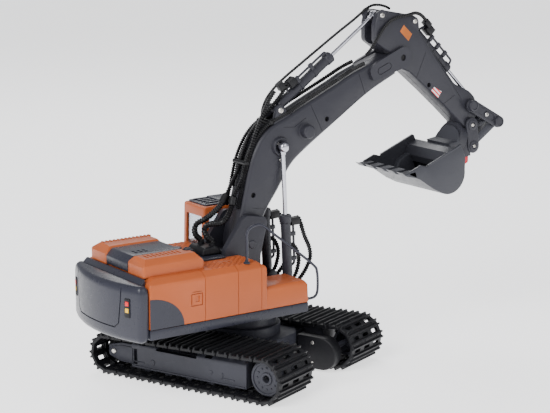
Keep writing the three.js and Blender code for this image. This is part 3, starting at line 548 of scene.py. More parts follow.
def sprocket(side):
    centre = (SPROCKET["x"], SPROCKET["z"])
    rim = wheel([(2.8, 64), (2.8, 68.2), (3.2, 68.6), (4.6, 68.6), (5, 68.2), (5, 67.6),
                 (11.2, 67.6), (11.5, 68.4), (12.6, 68.6), (13.2, 68.2), (13.4, 66.6),
                 (14.2, 66.4), (14.2, 63.5), (11, 63.2), (11, 48), (9, 48), (9, 64)],
                centre, side)
    bolts = [drum((centre[0] + 8.2 * math.cos(t), centre[1] + 8.2 * math.sin(t)), 0.85,
                  *across(side, 67.3, 68.3), "y", 0.25, 16)
             for t in (2 * math.pi * k / 12 for k in range(12))]
    web = drum(centre, 9.5, *across(side, 60, 64.4))
    tooth = slab(rounded([(-1.5, 9), (1.5, 9), (0.9, 13.6), (-0.9, 13.6)], 0.4, 2),
                 *across(side, 51, 55.6), "y", 0.4)
    teeth = copies(tooth, [Matrix.Translation((centre[0], 0, centre[1])) @
                           Matrix.Rotation(math.radians(30 * k), 4, "Y") for k in range(12)])
    shaft = drum(centre, 2.2, *across(side, 24.4, 49))
    return merge(rim, bolts, cut(web, drum(centre, 2.7, *across(side, 50, 70))), teeth, shaft)


def ribbed_roller(side):
    profile = [(1.5, 48.2), (3.4, 48.2)]
    for y in (49, 52.7, 56.4, 60):
        profile += [(3.6, y - 1), (4.4, y - 0.8), (4.6, y - 0.4), (4.6, y + 0.4), (4.4, y + 0.8),
                    (3.6, y + 1)]
    return wheel(profile + [(3.4, 60.9), (1.5, 60.9)], ROLLER, side)


for side, hand in ((-1, "left"), (1, "right")):
    piece(f"track_{hand}", track(side), "chassis", TRACK, "track_black",
          [f"track_belt_{hand}"], UNDERCARRIAGE)
    piece(f"frame_{hand}", side_frame(side), "chassis", FRAME, "frame_grey",
          [f"side_frame_{hand}"], UNDERCARRIAGE)
    piece(f"sprocket_{hand}", sprocket(side), f"sprocket_{hand}", FRAME, "frame_grey",
          [f"drive_sprocket_{hand}"], UNDERCARRIAGE)
    idler = wheel([(2.9, 49), (6, 48.2), (6.4, 49), (10.4, 49.4), (11.4, 50.2), (11.4, 57.4),
                   (10.6, 58.2), (7, 58.2), (6.4, 59), (2.9, 59)],
                  (IDLER["x"], IDLER["z"]), side)
    piece(f"idler_{hand}", idler, f"idler_{hand}", TRACK, "track_black",
          [f"idler_wheel_{hand}"], UNDERCARRIAGE)
    piece(f"roller_{hand}", ribbed_roller(side), f"roller_{hand}", FRAME, "frame_grey",
          [f"carrier_roller_{hand}"], UNDERCARRIAGE)
    case = slab(arc((60, 15), 13.2, -90, 90, 24) + [(38, 28.2), (38, 1.8)],
                *across(side, 18.5, 29.3), "y", 1.2, 3)
    piece(f"final_drive_{hand}", case, "chassis", TRACK, "track_black",
          [f"final_drive_case_{hand}", f"drive_motor_{hand}"], UNDERCARRIAGE)
    heads = [drum((52, z), 1.5, *across(side, 18.0, 18.9), "y", 0.3, 20) for z in (6.6, 23.4)]
    heads.append(drum((IDLER["x"], IDLER["z"]), 2.1, *across(side, 65.4, 66.9), "y", 0.6))
    piece(f"undercarriage_screws_{hand}", merge(heads), "chassis", STEEL, "steel", (),
          UNDERCARRIAGE)

pan = rounded([(-44, -29), (30, -29), (37.4, -18), (37.4, 18), (30, 29), (-44, 29), (-52, 18),
               (-52, -18)], 3)
pan_body = merge(slab(pan, 9, 30, "z", 1.2),
                 block(-40, -16, -42.4, 42.4, 12, 27, 1), block(10, 30, -42.4, 42.4, 12, 27, 1),
                 lathe([(28.6, 29), (28.6, 37.4), (28, 38), (25.6, 38), (25, 38.6), (25, 43.4),
                        (24.4, 44), (20, 44), (20, 29)], (0, 0), "z", 72, True))
piece("centre_pan", pan_body, "chassis", FRAME, "frame_grey", ["centre_frame"], UNDERCARRIAGE)

# ------------------------------------------------------------------ superstructure
def stacked(outline, levels, radius, steps=4):
    """A body of one plan outline with rounded corners, moved in by a drop at each level."""
    outline = anticlockwise(outline)
    return stack([[(x, y, z) for x, y in rounded(inset(outline, drop), radius, steps)]
                  for z, drop in levels])


deck = rounded(rectangle(SPLIT + 0.3, FRONT, -HALF_WIDTH, HALF_WIDTH), 1.5)
ring = lathe([(22, 45), (30, 45), (30, DECK_BOTTOM + 0.2), (22, DECK_BOTTOM + 0.2)], (0, 0), "z",
             72, True)
piece("deck", merge(slab(deck, DECK_BOTTOM, DECK_TOP, "z", 0.8), ring,
                    drum((0, 0), 6, 21, 50, "z")), "house", DECK, "deck_grey", ["deck_tray"])


REAR_RADIUS = (HALF_WIDTH ** 2 + REAR_BULGE ** 2) / (2 * REAR_BULGE)


def on_rear(y):
    """x of the counterweight's curved back at a height where it is upright."""
    return REAR + REAR_RADIUS - REAR_BULGE - math.sqrt(REAR_RADIUS ** 2 - y ** 2)


def rear_arc(steps):
    """The curved back in plan, from the cab side across."""
    return [(on_rear(y), y) for y in (HALF_WIDTH - 2 * HALF_WIDTH * k / steps
                                      for k in range(steps + 1))]


WEIGHT_BOTTOM, WEIGHT_TOP = 50.5, 94
weight_plan = anticlockwise([(SPLIT, HALF_WIDTH)] + rear_arc(16) +
                            [(SPLIT, -HALF_WIDTH)])
weight = stacked(weight_plan, [(WEIGHT_BOTTOM, 4), (WEIGHT_BOTTOM + 0.8, 2.2),
                               (WEIGHT_BOTTOM + 2.6, 0.7), (WEIGHT_BOTTOM + 5, 0),
                               (WEIGHT_TOP - 6.5, 0), (WEIGHT_TOP - 3, 0.5),
                               (WEIGHT_TOP - 1, 1.6), (WEIGHT_TOP, 3.2)], 3.4, 5)
shallow = stacked(weight_plan, [(40, 0.9), (110, 0.9)], 3.4, 5)
apron = [(-34, 104), (-33, 84), (-30.5, 63.5), (-26, 60), (26, 60), (30.5, 63.5), (33, 84),
         (34, 104)]
groove = cut(slab(apron, -150, -120, "x", 0), slab(inset(anticlockwise(apron), 1), -151, -119,
                                                   "x", 0), shallow)
split_line = block(SPLIT - 0.4, SPLIT + 4, -60, 60, 40, 120, 0)
tray = block(SPLIT - 4, SPLIT + 6, -45, 45, WEIGHT_TOP - 1.6, WEIGHT_TOP + 4, 0)
ledge = slab([(SPLIT - 4.4, 91), (SPLIT + 0.2, 91), (SPLIT + 0.2, COVER_TOP), (SPLIT - 1, COVER_TOP),
              (SPLIT - 4.4, 94.4)], -HALF_WIDTH + 6.5, HALF_WIDTH - 6.5, "y", 0.6, 2)
piece("counterweight_shell", merge(cut(weight, groove, split_line, tray), ledge), "house", DECK,
      "deck_grey", ["counterweight"])


TAIL_LIGHT_HEIGHT = 77
light_cases, red_lenses, yellow_lenses = [], [], []
for side in (-1, 1):
    y = side * 39
    tilt = (Matrix.Translation((on_rear(y), y, TAIL_LIGHT_HEIGHT)) @
            Matrix.Rotation(math.asin(y / REAR_RADIUS), 4, "Z").inverted())
    frame_outline = rounded(rectangle(-2.6, 2.6, -7.2, 7.2), 0.8, 3)
    light_cases.append(moved(slab(frame_outline, -0.7, 1.2, "x", 0.3), tilt))
    red_lenses.append(moved(slab(rounded(rectangle(-1.6, 1.6, 1.6, 5), 0.4, 2), -1.0, 0.5, "x",
                                 0.25), tilt))
    yellow_lenses.append(moved(slab(rounded(rectangle(-1.6, 1.6, -3.4, 0), 0.4, 2), -1.0, 0.5,
                                    "x", 0.25), tilt))
piece("tail_light_cases", merge(light_cases), "house", TRACK, "track_black")
piece("tail_lenses_red", merge(red_lenses), "house", LENS_RED, "tab_red")
piece("tail_lenses_yellow", merge(yellow_lenses), "house", LENS_YELLOW, "body_orange")

def tower_well():
    """The gap in the cover that the boom tower stands in."""
    return block(-30, 40, -18.2, 18.2, 50, 120, 0)


# orange shell
cover_plan = rectangle(SPLIT + 0.3, STEP, -HALF_WIDTH, HALF_WIDTH)
BAND = 5.4
cover = stacked(cover_plan, [(DECK_TOP + 0.3, 0.4), (DECK_TOP + 0.8, 0), (SHOULDER - 1.2, 0),
                             (SHOULDER - 0.3, 0.35), (SHOULDER + 0.5, 1.1),
                             (COVER_TOP - 0.5, BAND - 0.7), (COVER_TOP, BAND)], 1.4)
low_box = stacked(rectangle(STEP - 3, FRONT, -HALF_WIDTH, -18.5),
                  [(DECK_TOP + 0.3, 0.3), (DECK_TOP + 0.7, 0), (LOW_TOP - 3.4, 0.5),
                   (LOW_TOP - 2.2, 1.0), (LOW_TOP - 0.5, 2.3), (LOW_TOP, 3.1)], 1.4)
step_face = slab([(STEP + 3, DECK_TOP + 0.3), (STEP + 40, DECK_TOP), (STEP + 40, 120),
                  (STEP - 2, 120), (STEP - 1, SHOULDER)], -70, 70, "y", 0)
cover = cut(cover, step_face)
seam_rings = [slab(rectangle(-60, 60, 40, 120), x - 0.22, x + 0.22, "x", 0)
              for x in (-68, -38.4, -17.2)]
skin = [(-HALF_WIDTH, 50), (HALF_WIDTH, 50), (HALF_WIDTH, SHOULDER), (HALF_WIDTH - 5, COVER_TOP),
        (-HALF_WIDTH + 5, COVER_TOP), (-HALF_WIDTH, SHOULDER)]
seams = cut(merge(seam_rings), slab(inset(skin, 0.55), -130, 40, "x", 0))
cab_seat = block(CAB["back"] - 0.3, 40, 13, 60, 90, 120, 0)
cavity = block(SPLIT - 4, STEP - 6, -HALF_WIDTH + 3, HALF_WIDTH - 3, 50, 90, 0)
latches = []
for side in (-1, 1):
    face = across(side, HALF_WIDTH - 0.7, HALF_WIDTH + 1)
    latches.append(cut(block(-80.4, -70.2, *face, 73, 82.6, 0),
                       block(-79.6, -71, *across(side, HALF_WIDTH - 2, HALF_WIDTH + 2), 73.8, 81.8,
                             0)))
    latches.append(block(-76.6, -73, *face, 76, 80.6, 0))
cover = cut(cover, seams, tower_well(), cab_seat, cavity, *latches)
handles = [block(-79.4, -71.2, *across(side, HALF_WIDTH - 0.6, HALF_WIDTH), 83.4, 84.4, 0.3)
           for side in (-1, 1)]
slots = [block(-41 + k * 4.4, -38.2 + k * 4.4, -33, -30.6, COVER_TOP - 0.7, COVER_TOP + 1, 0)
         for k in range(2)]
cover = cut(cover, *slots)
stud = slab([(-1.3, 0), (0, -0.45), (1.3, 0), (0, 0.45)], -0.2, 0.35, "z", 0.15, 1)
STUD_PITCH = 2.6
places = []
for row in range(12):
    for column in range(16):
        x, y = -57 + column * STUD_PITCH, -44 + row * STUD_PITCH
        turn = Matrix.Rotation(math.radians(45 if (row + column) % 2 else -45), 4, "Z")
        if y < -22.5 and not (-44 < x < -32 and -36 < y < -28):
            places.append(Matrix.Translation((x, y, COVER_TOP)) @ turn)
        if x < CAB["back"] - 3 and y < -22.5:
            places.append(Matrix.Translation((x, -y, COVER_TOP)) @ turn)
studs = copies(stud, places)
piece("body_shell", merge(cover, low_box, handles, studs), "house", ORANGE,
      "body_orange", ["body_cover"])

quarter = [(SPLIT + 0.4, DECK_TOP + 0.4)] + [
    (SPLIT + 0.4 + 29 * math.sin(t), DECK_TOP + 0.4 + 23 * math.cos(t))
    for t in (math.pi / 2 * k / 20 for k in range(21))]
patches = [slab(quarter, *across(side, HALF_WIDTH - 0.3, HALF_WIDTH + 0.2), "y", 0.1, 1)
           for side in (-1, 1)]
piece("quarter_patches", merge(patches), "house", DECK, "deck_grey")


# hood
def hood_body(y0, y1, low_side):
    """A hood block between two widths, its low side falling away outwards."""
    top, back, front = HOOD["top"], HOOD["back"], HOOD["front"]
    body = stacked(rectangle(back, front, y0, y1),
                   [(COVER_TOP - 0.2, 0), (top - 4.8, 0), (top - 3.6, 0.4), (top - 0.8, 2.6),
                    (top - 0.2, 3.4), (top, 4.4)], 2.2)
    slope = slab([(back - 1, top - 6), (back + 5.5, top + 0.4), (back - 1, top + 1)], y0 - 2,
                 y1 + 2, "y", 0)
    nose = slab([(front + 1, top - 9), (front - 6, top + 0.4), (front + 1, top + 1)], y0 - 2,
                y1 + 2, "y", 0)
    edge = y0 if low_side < 0 else y1
    flank = slab([(edge + low_side, top - 5), (edge - low_side * 6, top + 0.2),
                  (edge + low_side, top + 1)], back - 2, front + 2, "x", 0)
    return cut(body, slope, nose, flank)


ridges = [block(HOOD["back"] + 6 + k * 3.4, HOOD["back"] + 7.8 + k * 3.4, HOOD["half"] - 9,
                HOOD["half"] - 5.6, HOOD["top"] - 0.4, HOOD["top"] + 0.8, 0.4) for k in range(13)]
piece("hood_block_left", merge(hood_body(HOOD["band"], HOOD["half"], 1), ridges), "house", ORANGE,
      "body_orange", ["hood_left"])
right_hood = hood_body(-HOOD["half"], -HOOD["band"], -1)
louvres = [block(x, x + 1.7, -30.5, -22.5, HOOD["top"] - 1.3, HOOD["top"] + 1, 0)
           for x in (HOOD["back"] + 9 + k * 3.5 for k in range(9))]
recess = drum((-67.5, -24), 3.9, HOOD["top"] - 3.5, HOOD["top"] + 3, "z", 0.1)
piece("hood_block_right", cut(right_hood, *louvres, recess), "house", ORANGE, "body_orange",
      ["hood_right"])
band = slab(rounded([(HOOD["back"] + 0.2, COVER_TOP), (HOOD["front"] - 0.2, COVER_TOP),
                     (HOOD["front"] - 6, HOOD["top"] - 0.8), (HOOD["back"] + 5.4, HOOD["top"] - 0.8),
                     (HOOD["back"] + 0.2, HOOD["top"] - 5.6)], 1.2, 4), -HOOD["band"],
            HOOD["band"], "y", 0.3)
vents = [block(x, x + 2.6, y, y + 2.6, HOOD["top"] - 2.6, HOOD["top"] + 1, 0)
         for x in (-104, -99.6, -95.2) for y in (-9.5, -5.2)]
piece("hood_band", cut(band, *vents), "house", DECK, "deck_grey", ["hood_centre"])
stub = lathe([(2.4, HOOD["top"] - 5), (2.8, HOOD["top"] - 5), (2.8, HOOD["top"] + 0.8),
              (2.5, HOOD["top"] + 1.3), (2.0, HOOD["top"] + 1.3), (1.8, HOOD["top"] + 0.8),
              (1.8, HOOD["top"] - 5)], (-67.5, -24), "z", 32, True)
shield = slab(rounded([(-70.5, HOOD["top"] - 1), (-64.4, HOOD["top"] - 1),
                       (-64.4, HOOD["top"] + 0.6), (-67, HOOD["top"] + 0.8)], 0.5, 2),
              -27, -21, "y", 0.4)
piece("exhaust", merge(stub, shield), "house", ARM, "arm_grey", ["exhaust_stub"])

plinth = slab(rounded(rectangle(HOOD["front"] + 0.3, -31, -21.5, 17.5), 0.8), COVER_TOP + 0.1,
              COVER_TOP + 1.6, "z", 0.5)
cap = lathe([(0.8, COVER_TOP + 1.6), (3.4, COVER_TOP + 1.6), (3.4, COVER_TOP + 4.6),
             (2.9, COVER_TOP + 5.4), (0.8, COVER_TOP + 5.8)], (-54, 12), "z", 32)
piece("manifold_plinth", merge(plinth, cap), "house", DECK, "deck_grey", ["hose_manifold"])
boot = slab(rounded([(-47, COVER_TOP + 1.6), (-29.8, COVER_TOP + 1.6), (-31, COVER_TOP + 6.6),
                     (-34, COVER_TOP + 7.8), (-44, COVER_TOP + 7.8), (-46, COVER_TOP + 6)], 1.4),
            -13, 9, "y", 1.2, 3)
nipples = [drum(at, 2.6, COVER_TOP + 7, COVER_TOP + 9.6, "z", 0.4, 24)
           for at in ((-37.8, 3.5), (-34.2, -6.5))]
piece("manifold_block", merge(boot, nipples), "house", TRACK, "track_black")

# cab
profile = rounded([(STEP + 6, DECK_TOP + 0.3), (CAB["front"], DECK_TOP + 0.3), (CAB["front"], 99),
                   (CAB["front"] - 11, CAB["top"]), (CAB["back"] + 1, CAB["top"]),
                   (CAB["back"], 90.6), (STEP + 6, 90.6)], 2.2, 5)
shell = slab(profile, CAB["inner"], CAB["outer"], "y", 1.6, 4)
hollow = slab([(STEP + 8.5, 58), (CAB["front"] - 2.4, 58), (CAB["front"] - 2.4, 98.4),
               (CAB["front"] - 12.8, CAB["top"] - 2.4), (CAB["back"] + 3, CAB["top"] - 2.4),
               (CAB["back"] + 2.6, 93), (STEP + 8.5, 93)], CAB["inner"] + 2.2,
              CAB["outer"] - 2.2, "y", 0)
rear_window = slab(rounded(rectangle(CAB["inner"] + 3.6, CAB["outer"] - 4.6, 96.5, 121.5), 1.6),
                   CAB["back"] - 4, CAB["back"] + 6, "x", 0)
side_window = slab(rounded([(CAB["back"] + 5, 98), (CAB["front"] - 4.6, 98),
                            (CAB["front"] - 13.4, 123.5), (CAB["back"] + 5.6, 123.5)], 1.8),
                   CAB["inner"] - 3, CAB["outer"] + 3, "y", 0)
front_window = slab([(CAB["front"] - 3, 95), (CAB["front"] + 5, 95), (CAB["front"] + 5, 130),
                     (CAB["front"] - 14, 126)], CAB["inner"] + 3.6, CAB["outer"] - 4, "y", 0)
door_seams = [block(x - 0.2, x + 0.2, CAB["outer"] - 0.45, CAB["outer"] + 1, 62, 96.6, 0)
              for x in (-3.5, 20.5)]
door_seams.append(block(-3.5, 20.5, CAB["outer"] - 0.45, CAB["outer"] + 1, 62, 62.4, 0))
door_seams.append(block(0.5, 6.5, CAB["outer"] - 0.9, CAB["outer"] + 1, 86.4, 88.8, 0))
shell = cut(shell, hollow)
shell = cut(shell, rear_window, side_window, front_window, *door_seams)
roof_lip = slab(rounded(rectangle(CAB["back"] + 1.2, CAB["front"] - 11.4, CAB["inner"] + 0.4,
                                  CAB["outer"] - 0.6), 2), CAB["top"] - 2, CAB["top"] + 0.1, "z",
                0.6)
piece("cab_body", merge(shell, roof_lip), "house", ORANGE, "body_orange", ["cab_shell"])
roof = slab(rounded(rectangle(CAB["back"] + 3.4, CAB["front"] - 13.4, CAB["inner"] + 2.4,
                              CAB["outer"] - 2.6), 2.4), CAB["top"] + 0.1, CAB["top"] + 1.6, "z",
            0.5)
roof_bars = [block(CAB["back"] + 6, CAB["front"] - 17.5, y, y + 2.2, CAB["top"] + 1.2,
                   CAB["top"] + 2.8, 0.5) for y in (24, 29.6, 35.2, 40.8)]
hatch = slab(rounded(rectangle(-8, 8, 25, 43), 1.6), CAB["top"] + 1.2, CAB["roof"], "z", 0.6)
piece("cab_roof_panel", merge(roof, roof_bars, hatch), "house", DECK, "deck_grey", ["cab_roof"])


def pane(points, low, high, along):
    return slab(points, low, high, along, 0.1, 1)


panes = [pane(rounded(rectangle(CAB["inner"] + 3, CAB["outer"] - 4, 96, 122), 1.6),
              CAB["back"] + 2.2, CAB["back"] + 3.2, "x")]
for low in (CAB["inner"] + 1.2, CAB["outer"] - 2.2):
    panes.append(pane([(CAB["back"] + 4.4, 97.4), (CAB["front"] - 4, 97.4),
                       (CAB["front"] - 13, 124), (CAB["back"] + 5, 124)], low, low + 0.8, "y"))
panes.append(slab([(CAB["front"] - 2.6, 95), (CAB["front"] - 1.8, 95), (CAB["front"] - 1.8, 98.8),
                   (CAB["front"] - 12.2, 126), (CAB["front"] - 13.2, 126),
                   (CAB["front"] - 2.6, 98.4)], CAB["inner"] + 3.4, CAB["outer"] - 3.8, "y", 0))
piece("cab_panes", merge(panes), "house", GLASS, "cab_glass", ["cab_glazing"])
seat = merge(slab(rounded(rectangle(0, 13, 27, 41), 2.4), 62, 90, "z", 1.4),
             slab(rounded([(-3, 86), (2.6, 86), (-1, 112), (-5, 112)], 1.6), 27.5, 40.5, "y", 1.4))
piece("cab_seat", seat, "house", TRACK, "track_black")

# handrail
rail = [(-27, -44, 97.6), (-26.6, -44, 104), (-26.6, -44, 112), (-26.8, -44, 119.5),
        (-24.6, -44, 124), (-18.6, -44, 126), (-12, -44, 124.8), (0, -44.2, 115.5), (13, -44.6, 105.4),
        (33.6, -45.5, 88.6), (37.6, -46, 82), (38.2, -46, 68), (36, -46, 62.8), (31, -46, 61.6),
        (FRONT - 0.4, -46, 62)]
flange = lathe([(0.6, COVER_TOP), (2.6, COVER_TOP), (2.6, COVER_TOP + 0.6), (1.5, COVER_TOP + 1.4),
                (1.2, COVER_TOP + 3), (0.6, COVER_TOP + 3)], (-27, -44), "z", 28)
clip = block(FRONT - 0.5, FRONT + 2.4, -47.6, -44.4, 60.8, 63.2, 0.5)
piece("rail", merge(tube(rail, 1.05, 14, 1.2), flange, clip), "house", DECK, "deck_grey",
      ["handrail"])

# inside the body
packs = [rod((-102, y, 61 + 9.4 * row), (-52, y, 61 + 9.4 * row), 4.4, 32, 0.8)
         for y in (-18, -9, 0, 9, 18) for row in (0, 1)]
piece("battery_cells", merge(packs), "house", BATTERY, "battery_black", ["battery_pack"])
chips = [block(x, x + 7, y, y + 7, 81.4, 83, 0.3) for x in (-96, -80, -64) for y in (-20, 0, 16)]
piece("board", merge(block(-104, -44, -30, 30, 80, 81.6, 0.2), chips), "house", BOARD,
      "board_green", ["control_board"])

# boom tower and its motor
tower_outline = rounded([(-29, 55), (4, 55), (4, 94), (10.6, 120), (8.6, 124.4), (-8.6, 127.4),
                         (-12, 125.8), (-29, 102.4)], 2, 4)
tower = cut(slab(tower_outline, -17.6, 17.6, "y", 0.6, 2),
            slab([(-24.6, 62), (24, 62), (24, 140), (-40, 140), (-40, 101), (-24.6, 101)], -12.4,
                 12.4, "y", 0))
tongue = block(0, 36, -11, 11, 60.3, 64, 0.6)
lugs = [slab([(24, 62), (LIFT_BASE[0] + 4.4, 62)] + arc(LIFT_BASE, 4.4, 0, 140, 12),
             *across(side, 6.6, 9.6), "y", 0.5) for side in (-1, 1)]
spigots = [drum(LIFT_BASE, 1.4, *across(side, 9, 17.4)) for side in (-1, 1)]
spigots += [drum(BOOM_PIVOT, 3.4, *across(side, 17.2, 18.5), "y", 0.6) for side in (-1, 1)]
piece("tower", merge(tower, tongue, lugs, spigots), "house", ARM, "arm_grey", ["boom_tower"])
winch = merge(drum((-14, 72), 7.4, -11, 11, "y", 0.8), block(-20, -8, -6, 6, 62.3, 66, 0.6))
slewer = merge(drum((-38, 30), 7, 56, 78, "z", 0.8), drum((-38, 30), 2, 54.8, 57, "z"))
piece("house_motors", merge(winch, slewer), "house", STEEL, "steel", ["boom_motor", "slew_motor"])


def screw(at, y0, y1, side, radius=2.3):
    """A round-headed cross-recess screw, its head proud of a side face."""
    head = lathe([(radius, side * y0), (radius, side * (y1 - 0.7)), (radius * 0.8, side * y1 - side * 0.2),
                  (radius * 0.4, side * y1)], at, "y", 28)
    cross = [block(at[0] - a, at[0] + a, *across(side, y1 - 0.7, y1 + 1), at[1] - b, at[1] + b, 0)
             for a, b in ((radius * 0.62, 0.24), (0.24, radius * 0.62))]
    return cut(head, *cross)


# ------------------------------------------------------------------ boom
boom_lower = [(7.5, 104), (8.9, 114.3), (16.5, 129.4), (26.1, 142.7), (38, 160.5), (52, 172),
              (84.4, 193), (114.4, 211.9), (139.9, 224.2), (151.5, 229.5)]
boom_upper = [(134.4, 241.6), (100, 229.4), (84.1, 222), (54.8, 208.9), (35.5, 199.8),
              (21.3, 194.1), (11.8, 187), (5.3, 178.3), (-0.4, 165.5), (-5.1, 146.3),
              (-10.8, 121.7)]


def eased(points):
    """A smooth run through the points of one long edge."""
    return [(p.x, p.y) for p in smooth_path([(a, b, 0) for a, b in points], 3)]


boom_outline = (arc(BOOM_PIVOT, 10.8, 165, 345, 24) + eased(boom_lower)[1:] +
                arc(ARM_PIVOT, 9.2, -55, 80, 18) + eased(boom_upper))
boom_outline = anticlockwise(boom_outline)
CHAMFER = 2.4


def plated(outline, half, side, chamfer=CHAMFER, radius=1.2):
    """One moulded half of a box section: flat side, wide chamfer, seam at the middle."""
    levels = [(0.25, 0.1), (0, 0.35), (0, half - chamfer), (chamfer * 0.12, half - chamfer * 0.75),
              (chamfer * 0.88, half - chamfer * 0.1), (chamfer * 1.12, half)]
    return stack([[(x, side * y, z) for x, z in rounded(inset(outline, drop), radius, 2)]
                  for drop, y in levels])


def seam(a, b, half, side, width=0.4, depth=0.45):
    """A tool for the line of a panel joint across a side face."""
    start, end = Vector(a), Vector(b)
    out = (end - start).normalized().orthogonal() * width / 2
    outline = [tuple(start - out), tuple(end - out), tuple(end + out), tuple(start + out)]
    return slab(outline, *across(side, half - depth, half + 2), "y", 0)


KNOB = (51.6, 187)
BOOM_SEAMS = [((29.7, 192.2), (40.8, 191.2)), ((40.8, 191.2), (52, 197.6)),
              ((1.5, 131), (17.6, 127.8)), ((55.5, 209.5), (69.5, 182.5)), ((103, 231), (111.5, 209.5))]
for side, hand in ((-1, "right"), (1, "left")):
    half = plated(boom_outline, BOOM_HALF, side)
    holes = [drum(at, r, *across(side, BOOM_HALF - 4, BOOM_HALF + 4), "y", 0)
             for at, r in (((1.9, 141.1), 2.1), ((72.6, 194.7), 2.1))]
    slot = block(133.5, 175, *across(side, -1, BOOM_HALF + 0.7), 222, 262, 0)
    slot = combine(slot, [drum(ARM_PIVOT, 13.5, -20, 20, "y", 0)], "INTERSECT")
    half = cut(half, slot, holes, *[seam(a, b, BOOM_HALF, side) for a, b in BOOM_SEAMS])
    cheek_outline = rounded(arc(ARM_PIVOT, 8.8, -95, 100, 20) +
                            [(118.5, 236), (113, 230.5), (117, 221.5)], 2.2, 3)
    cheek = slab(cheek_outline, *across(side, BOOM_HALF - 0.6, BOOM_HALF + 2.9), "y",
                 *((1.2, 3, 0) if side > 0 else (0, 3, 1.2)))
    capsule_groove = cut(slab(capsule((124, 229.6), (132, 232.8), 3, 3), *across(side, 12.6, 15),
                              "y", 0),
                         slab(capsule((124, 229.6), (132, 232.8), 2.5, 2.5),
                              *across(side, 12, 16), "y", 0))
    cheek = cut(cheek, capsule_groove, drum(ARM_PIVOT, 2.6, *across(side, 8, 20), "y", 0))
    cup = lathe([(3.2, side * d) if k in (0, 7) else (r, side * d) for k, (r, d) in enumerate(
        [(3.2, 9.6), (7.8, 9.6), (7.6, 11.6), (6.9, 13), (6.0, 13.1), (5.2, 12.4), (3.4, 11.2),
         (3.2, 11)])], LIFT_EYE, "y", 48, True)
    knob_plate = slab(arc(KNOB, 6.8, 0, 360, 40)[:-1], *across(side, 9.8, 11), "y", 0.4)
    knob = slab(arc(KNOB, 5.5, 0, 360, 40)[:-1], *across(side, 10, 17.2), "y",
                *((1.6, 4, 0) if side < 0 else (0, 4, 1.6)))
    ear = slab(arc(ARM_CYL_BASE, 4.2, 20, 190, 16) + [(22, 192.4), (40, 199.4)],
               *across(side, 4.3, 8.4), "y", 0.5)
    spigot = drum(LIFT_EYE, 1.4, *across(side, 9.5, 18))
    piece(f"boom_{hand}", merge(half, cheek, cup, knob_plate, knob, ear, spigot), "boom", ARM,
          "arm_grey", [f"boom_{hand}_half"])
PIN_SHANK = 1.3
boom_screws = []
for side in (-1, 1):
    boom_screws += [screw(ARM_CYL_BASE, 7.6, 9.2, side), screw((27.8, 166.4), 9.6, 10.9, side, 1.5),
                    screw((24.2, 180.2), 10.4, 11.9, side, 1.3)]
boom_screws.append(drum(ARM_CYL_BASE, PIN_SHANK, -8, 8))
boom_screws.append(drum(ARM_PIVOT, 1.6, -11, 11))
piece("boom_screws", merge(boom_screws), "boom", STEEL, "steel", ["arm_pivot_pin"])
piece("boom_gear", merge(drum((100, 215), 7, -8.4, 8.4, "y", 0.8)), "boom", STEEL, "steel",
      ["arm_motor"])
# Near-black discs inside the boom's holes and pivot bores: painted shade for the depth of the holes.
hole_shade_discs = [drum(at, 1.9, *across(side, BOOM_HALF - 3.9, BOOM_HALF - 2.4), "y", 0.1)
              for side in (-1, 1) for at in ((1.9, 141.1), (72.6, 194.7))]
hole_shade_discs += [drum(ARM_PIVOT, 2.5, *across(side, 11.2, 12.2), "y", 0.1) for side in (-1, 1)]
piece("boom_hole_shadows", merge(hole_shade_discs), "boom", HOLE_SHADE, "hose_black")
piece("boom_foot_axle", drum(BOOM_PIVOT, 1.6, -18.4, 18.4), "house", STEEL, "steel",
      ["boom_foot_pin"])

# ------------------------------------------------------------------ arm
arm_outline = anticlockwise(
    arc(ARM_END, 5.4, -150, 30, 10) +
    list([(232.5, 187), (228, 199.5), (222, 205), (205.5, 212.4), (188.6, 231.9),
             (166.6, 258.2), (165.5, 269), (160, 272.2), (146.4, 274.7), (129, 278),
             (123.2, 275.2), (120.9, 266.6), (121.1, 253), (137, 242), (141, 233.4),
             (150, 228.6), (156.8, 226), (178.5, 208.6), (200.6, 189.8)]))
ARM_SEAMS = [((173.3, 241.5), (161.5, 216)), ((205.2, 202.9), (188.2, 193.8)),
             ((164.4, 260.4), (213.5, 198.1))]
for side, hand in ((-1, "right"), (1, "left")):
    half = plated(arm_outline, ARM_HALF, side, 1.2, 2.2)
    hole = drum((177.2, 213.6), 2.0, *across(side, ARM_HALF - 4, ARM_HALF + 4), "y", 0)
    rod_slot = slab([(116, 250), (128, 250), (134, 262), (134, 290), (116, 290)], -4.4, 4.4, "y", 0)
    bucket_slot = slab([(155, 258.5), (172, 244), (180, 262), (164, 280), (152, 276)], -4.4, 4.4,
                       "y", 0)
    groove = slab([(196.8, 225.5), (236.8, 185.9), (250, 200), (210, 240)], -2.7, 2.7, "y", 0)
    half = cut(half, rod_slot, bucket_slot, groove, hole,
               *[seam(a, b, ARM_HALF, side, 0.35) for a, b in ARM_SEAMS])
    brace = [drum(ARM_CYL_EYE, 4.6, *across(side, ARM_HALF - 1, ARM_HALF + 0.5), "y", 0.4),
             drum(BUCKET_CYL_BASE, 3.4, *across(side, ARM_HALF - 1, ARM_HALF + 0.4), "y", 0.3)]
    piece(f"arm_{hand}", merge(half, brace), "arm", ARM, "arm_grey", [f"arm_{hand}_half"])
arm_screws = [screw(at, 9.6, 11.7, side, r) for side in (-1, 1)
              for at, r in ((ARM_CYL_EYE, 2.1), (BUCKET_CYL_BASE, 2.0))]
arm_screws += [drum(ARM_CYL_EYE, PIN_SHANK, -10, 10), drum(BUCKET_CYL_BASE, PIN_SHANK, -10, 10),
               drum(ROCKER_PIVOT, 1.6, -13.1, 13.1), drum(ARM_END, 1.6, -14.4, 14.4)]
piece("arm_screws", merge(arm_screws), "arm", STEEL, "steel", ["rocker_pin", "coupler_pin"])
piece("arm_gear", drum((146, 252), 7, -8.4, 8.4, "y", 0.8), "arm", STEEL, "steel",
      ["bucket_motor"])
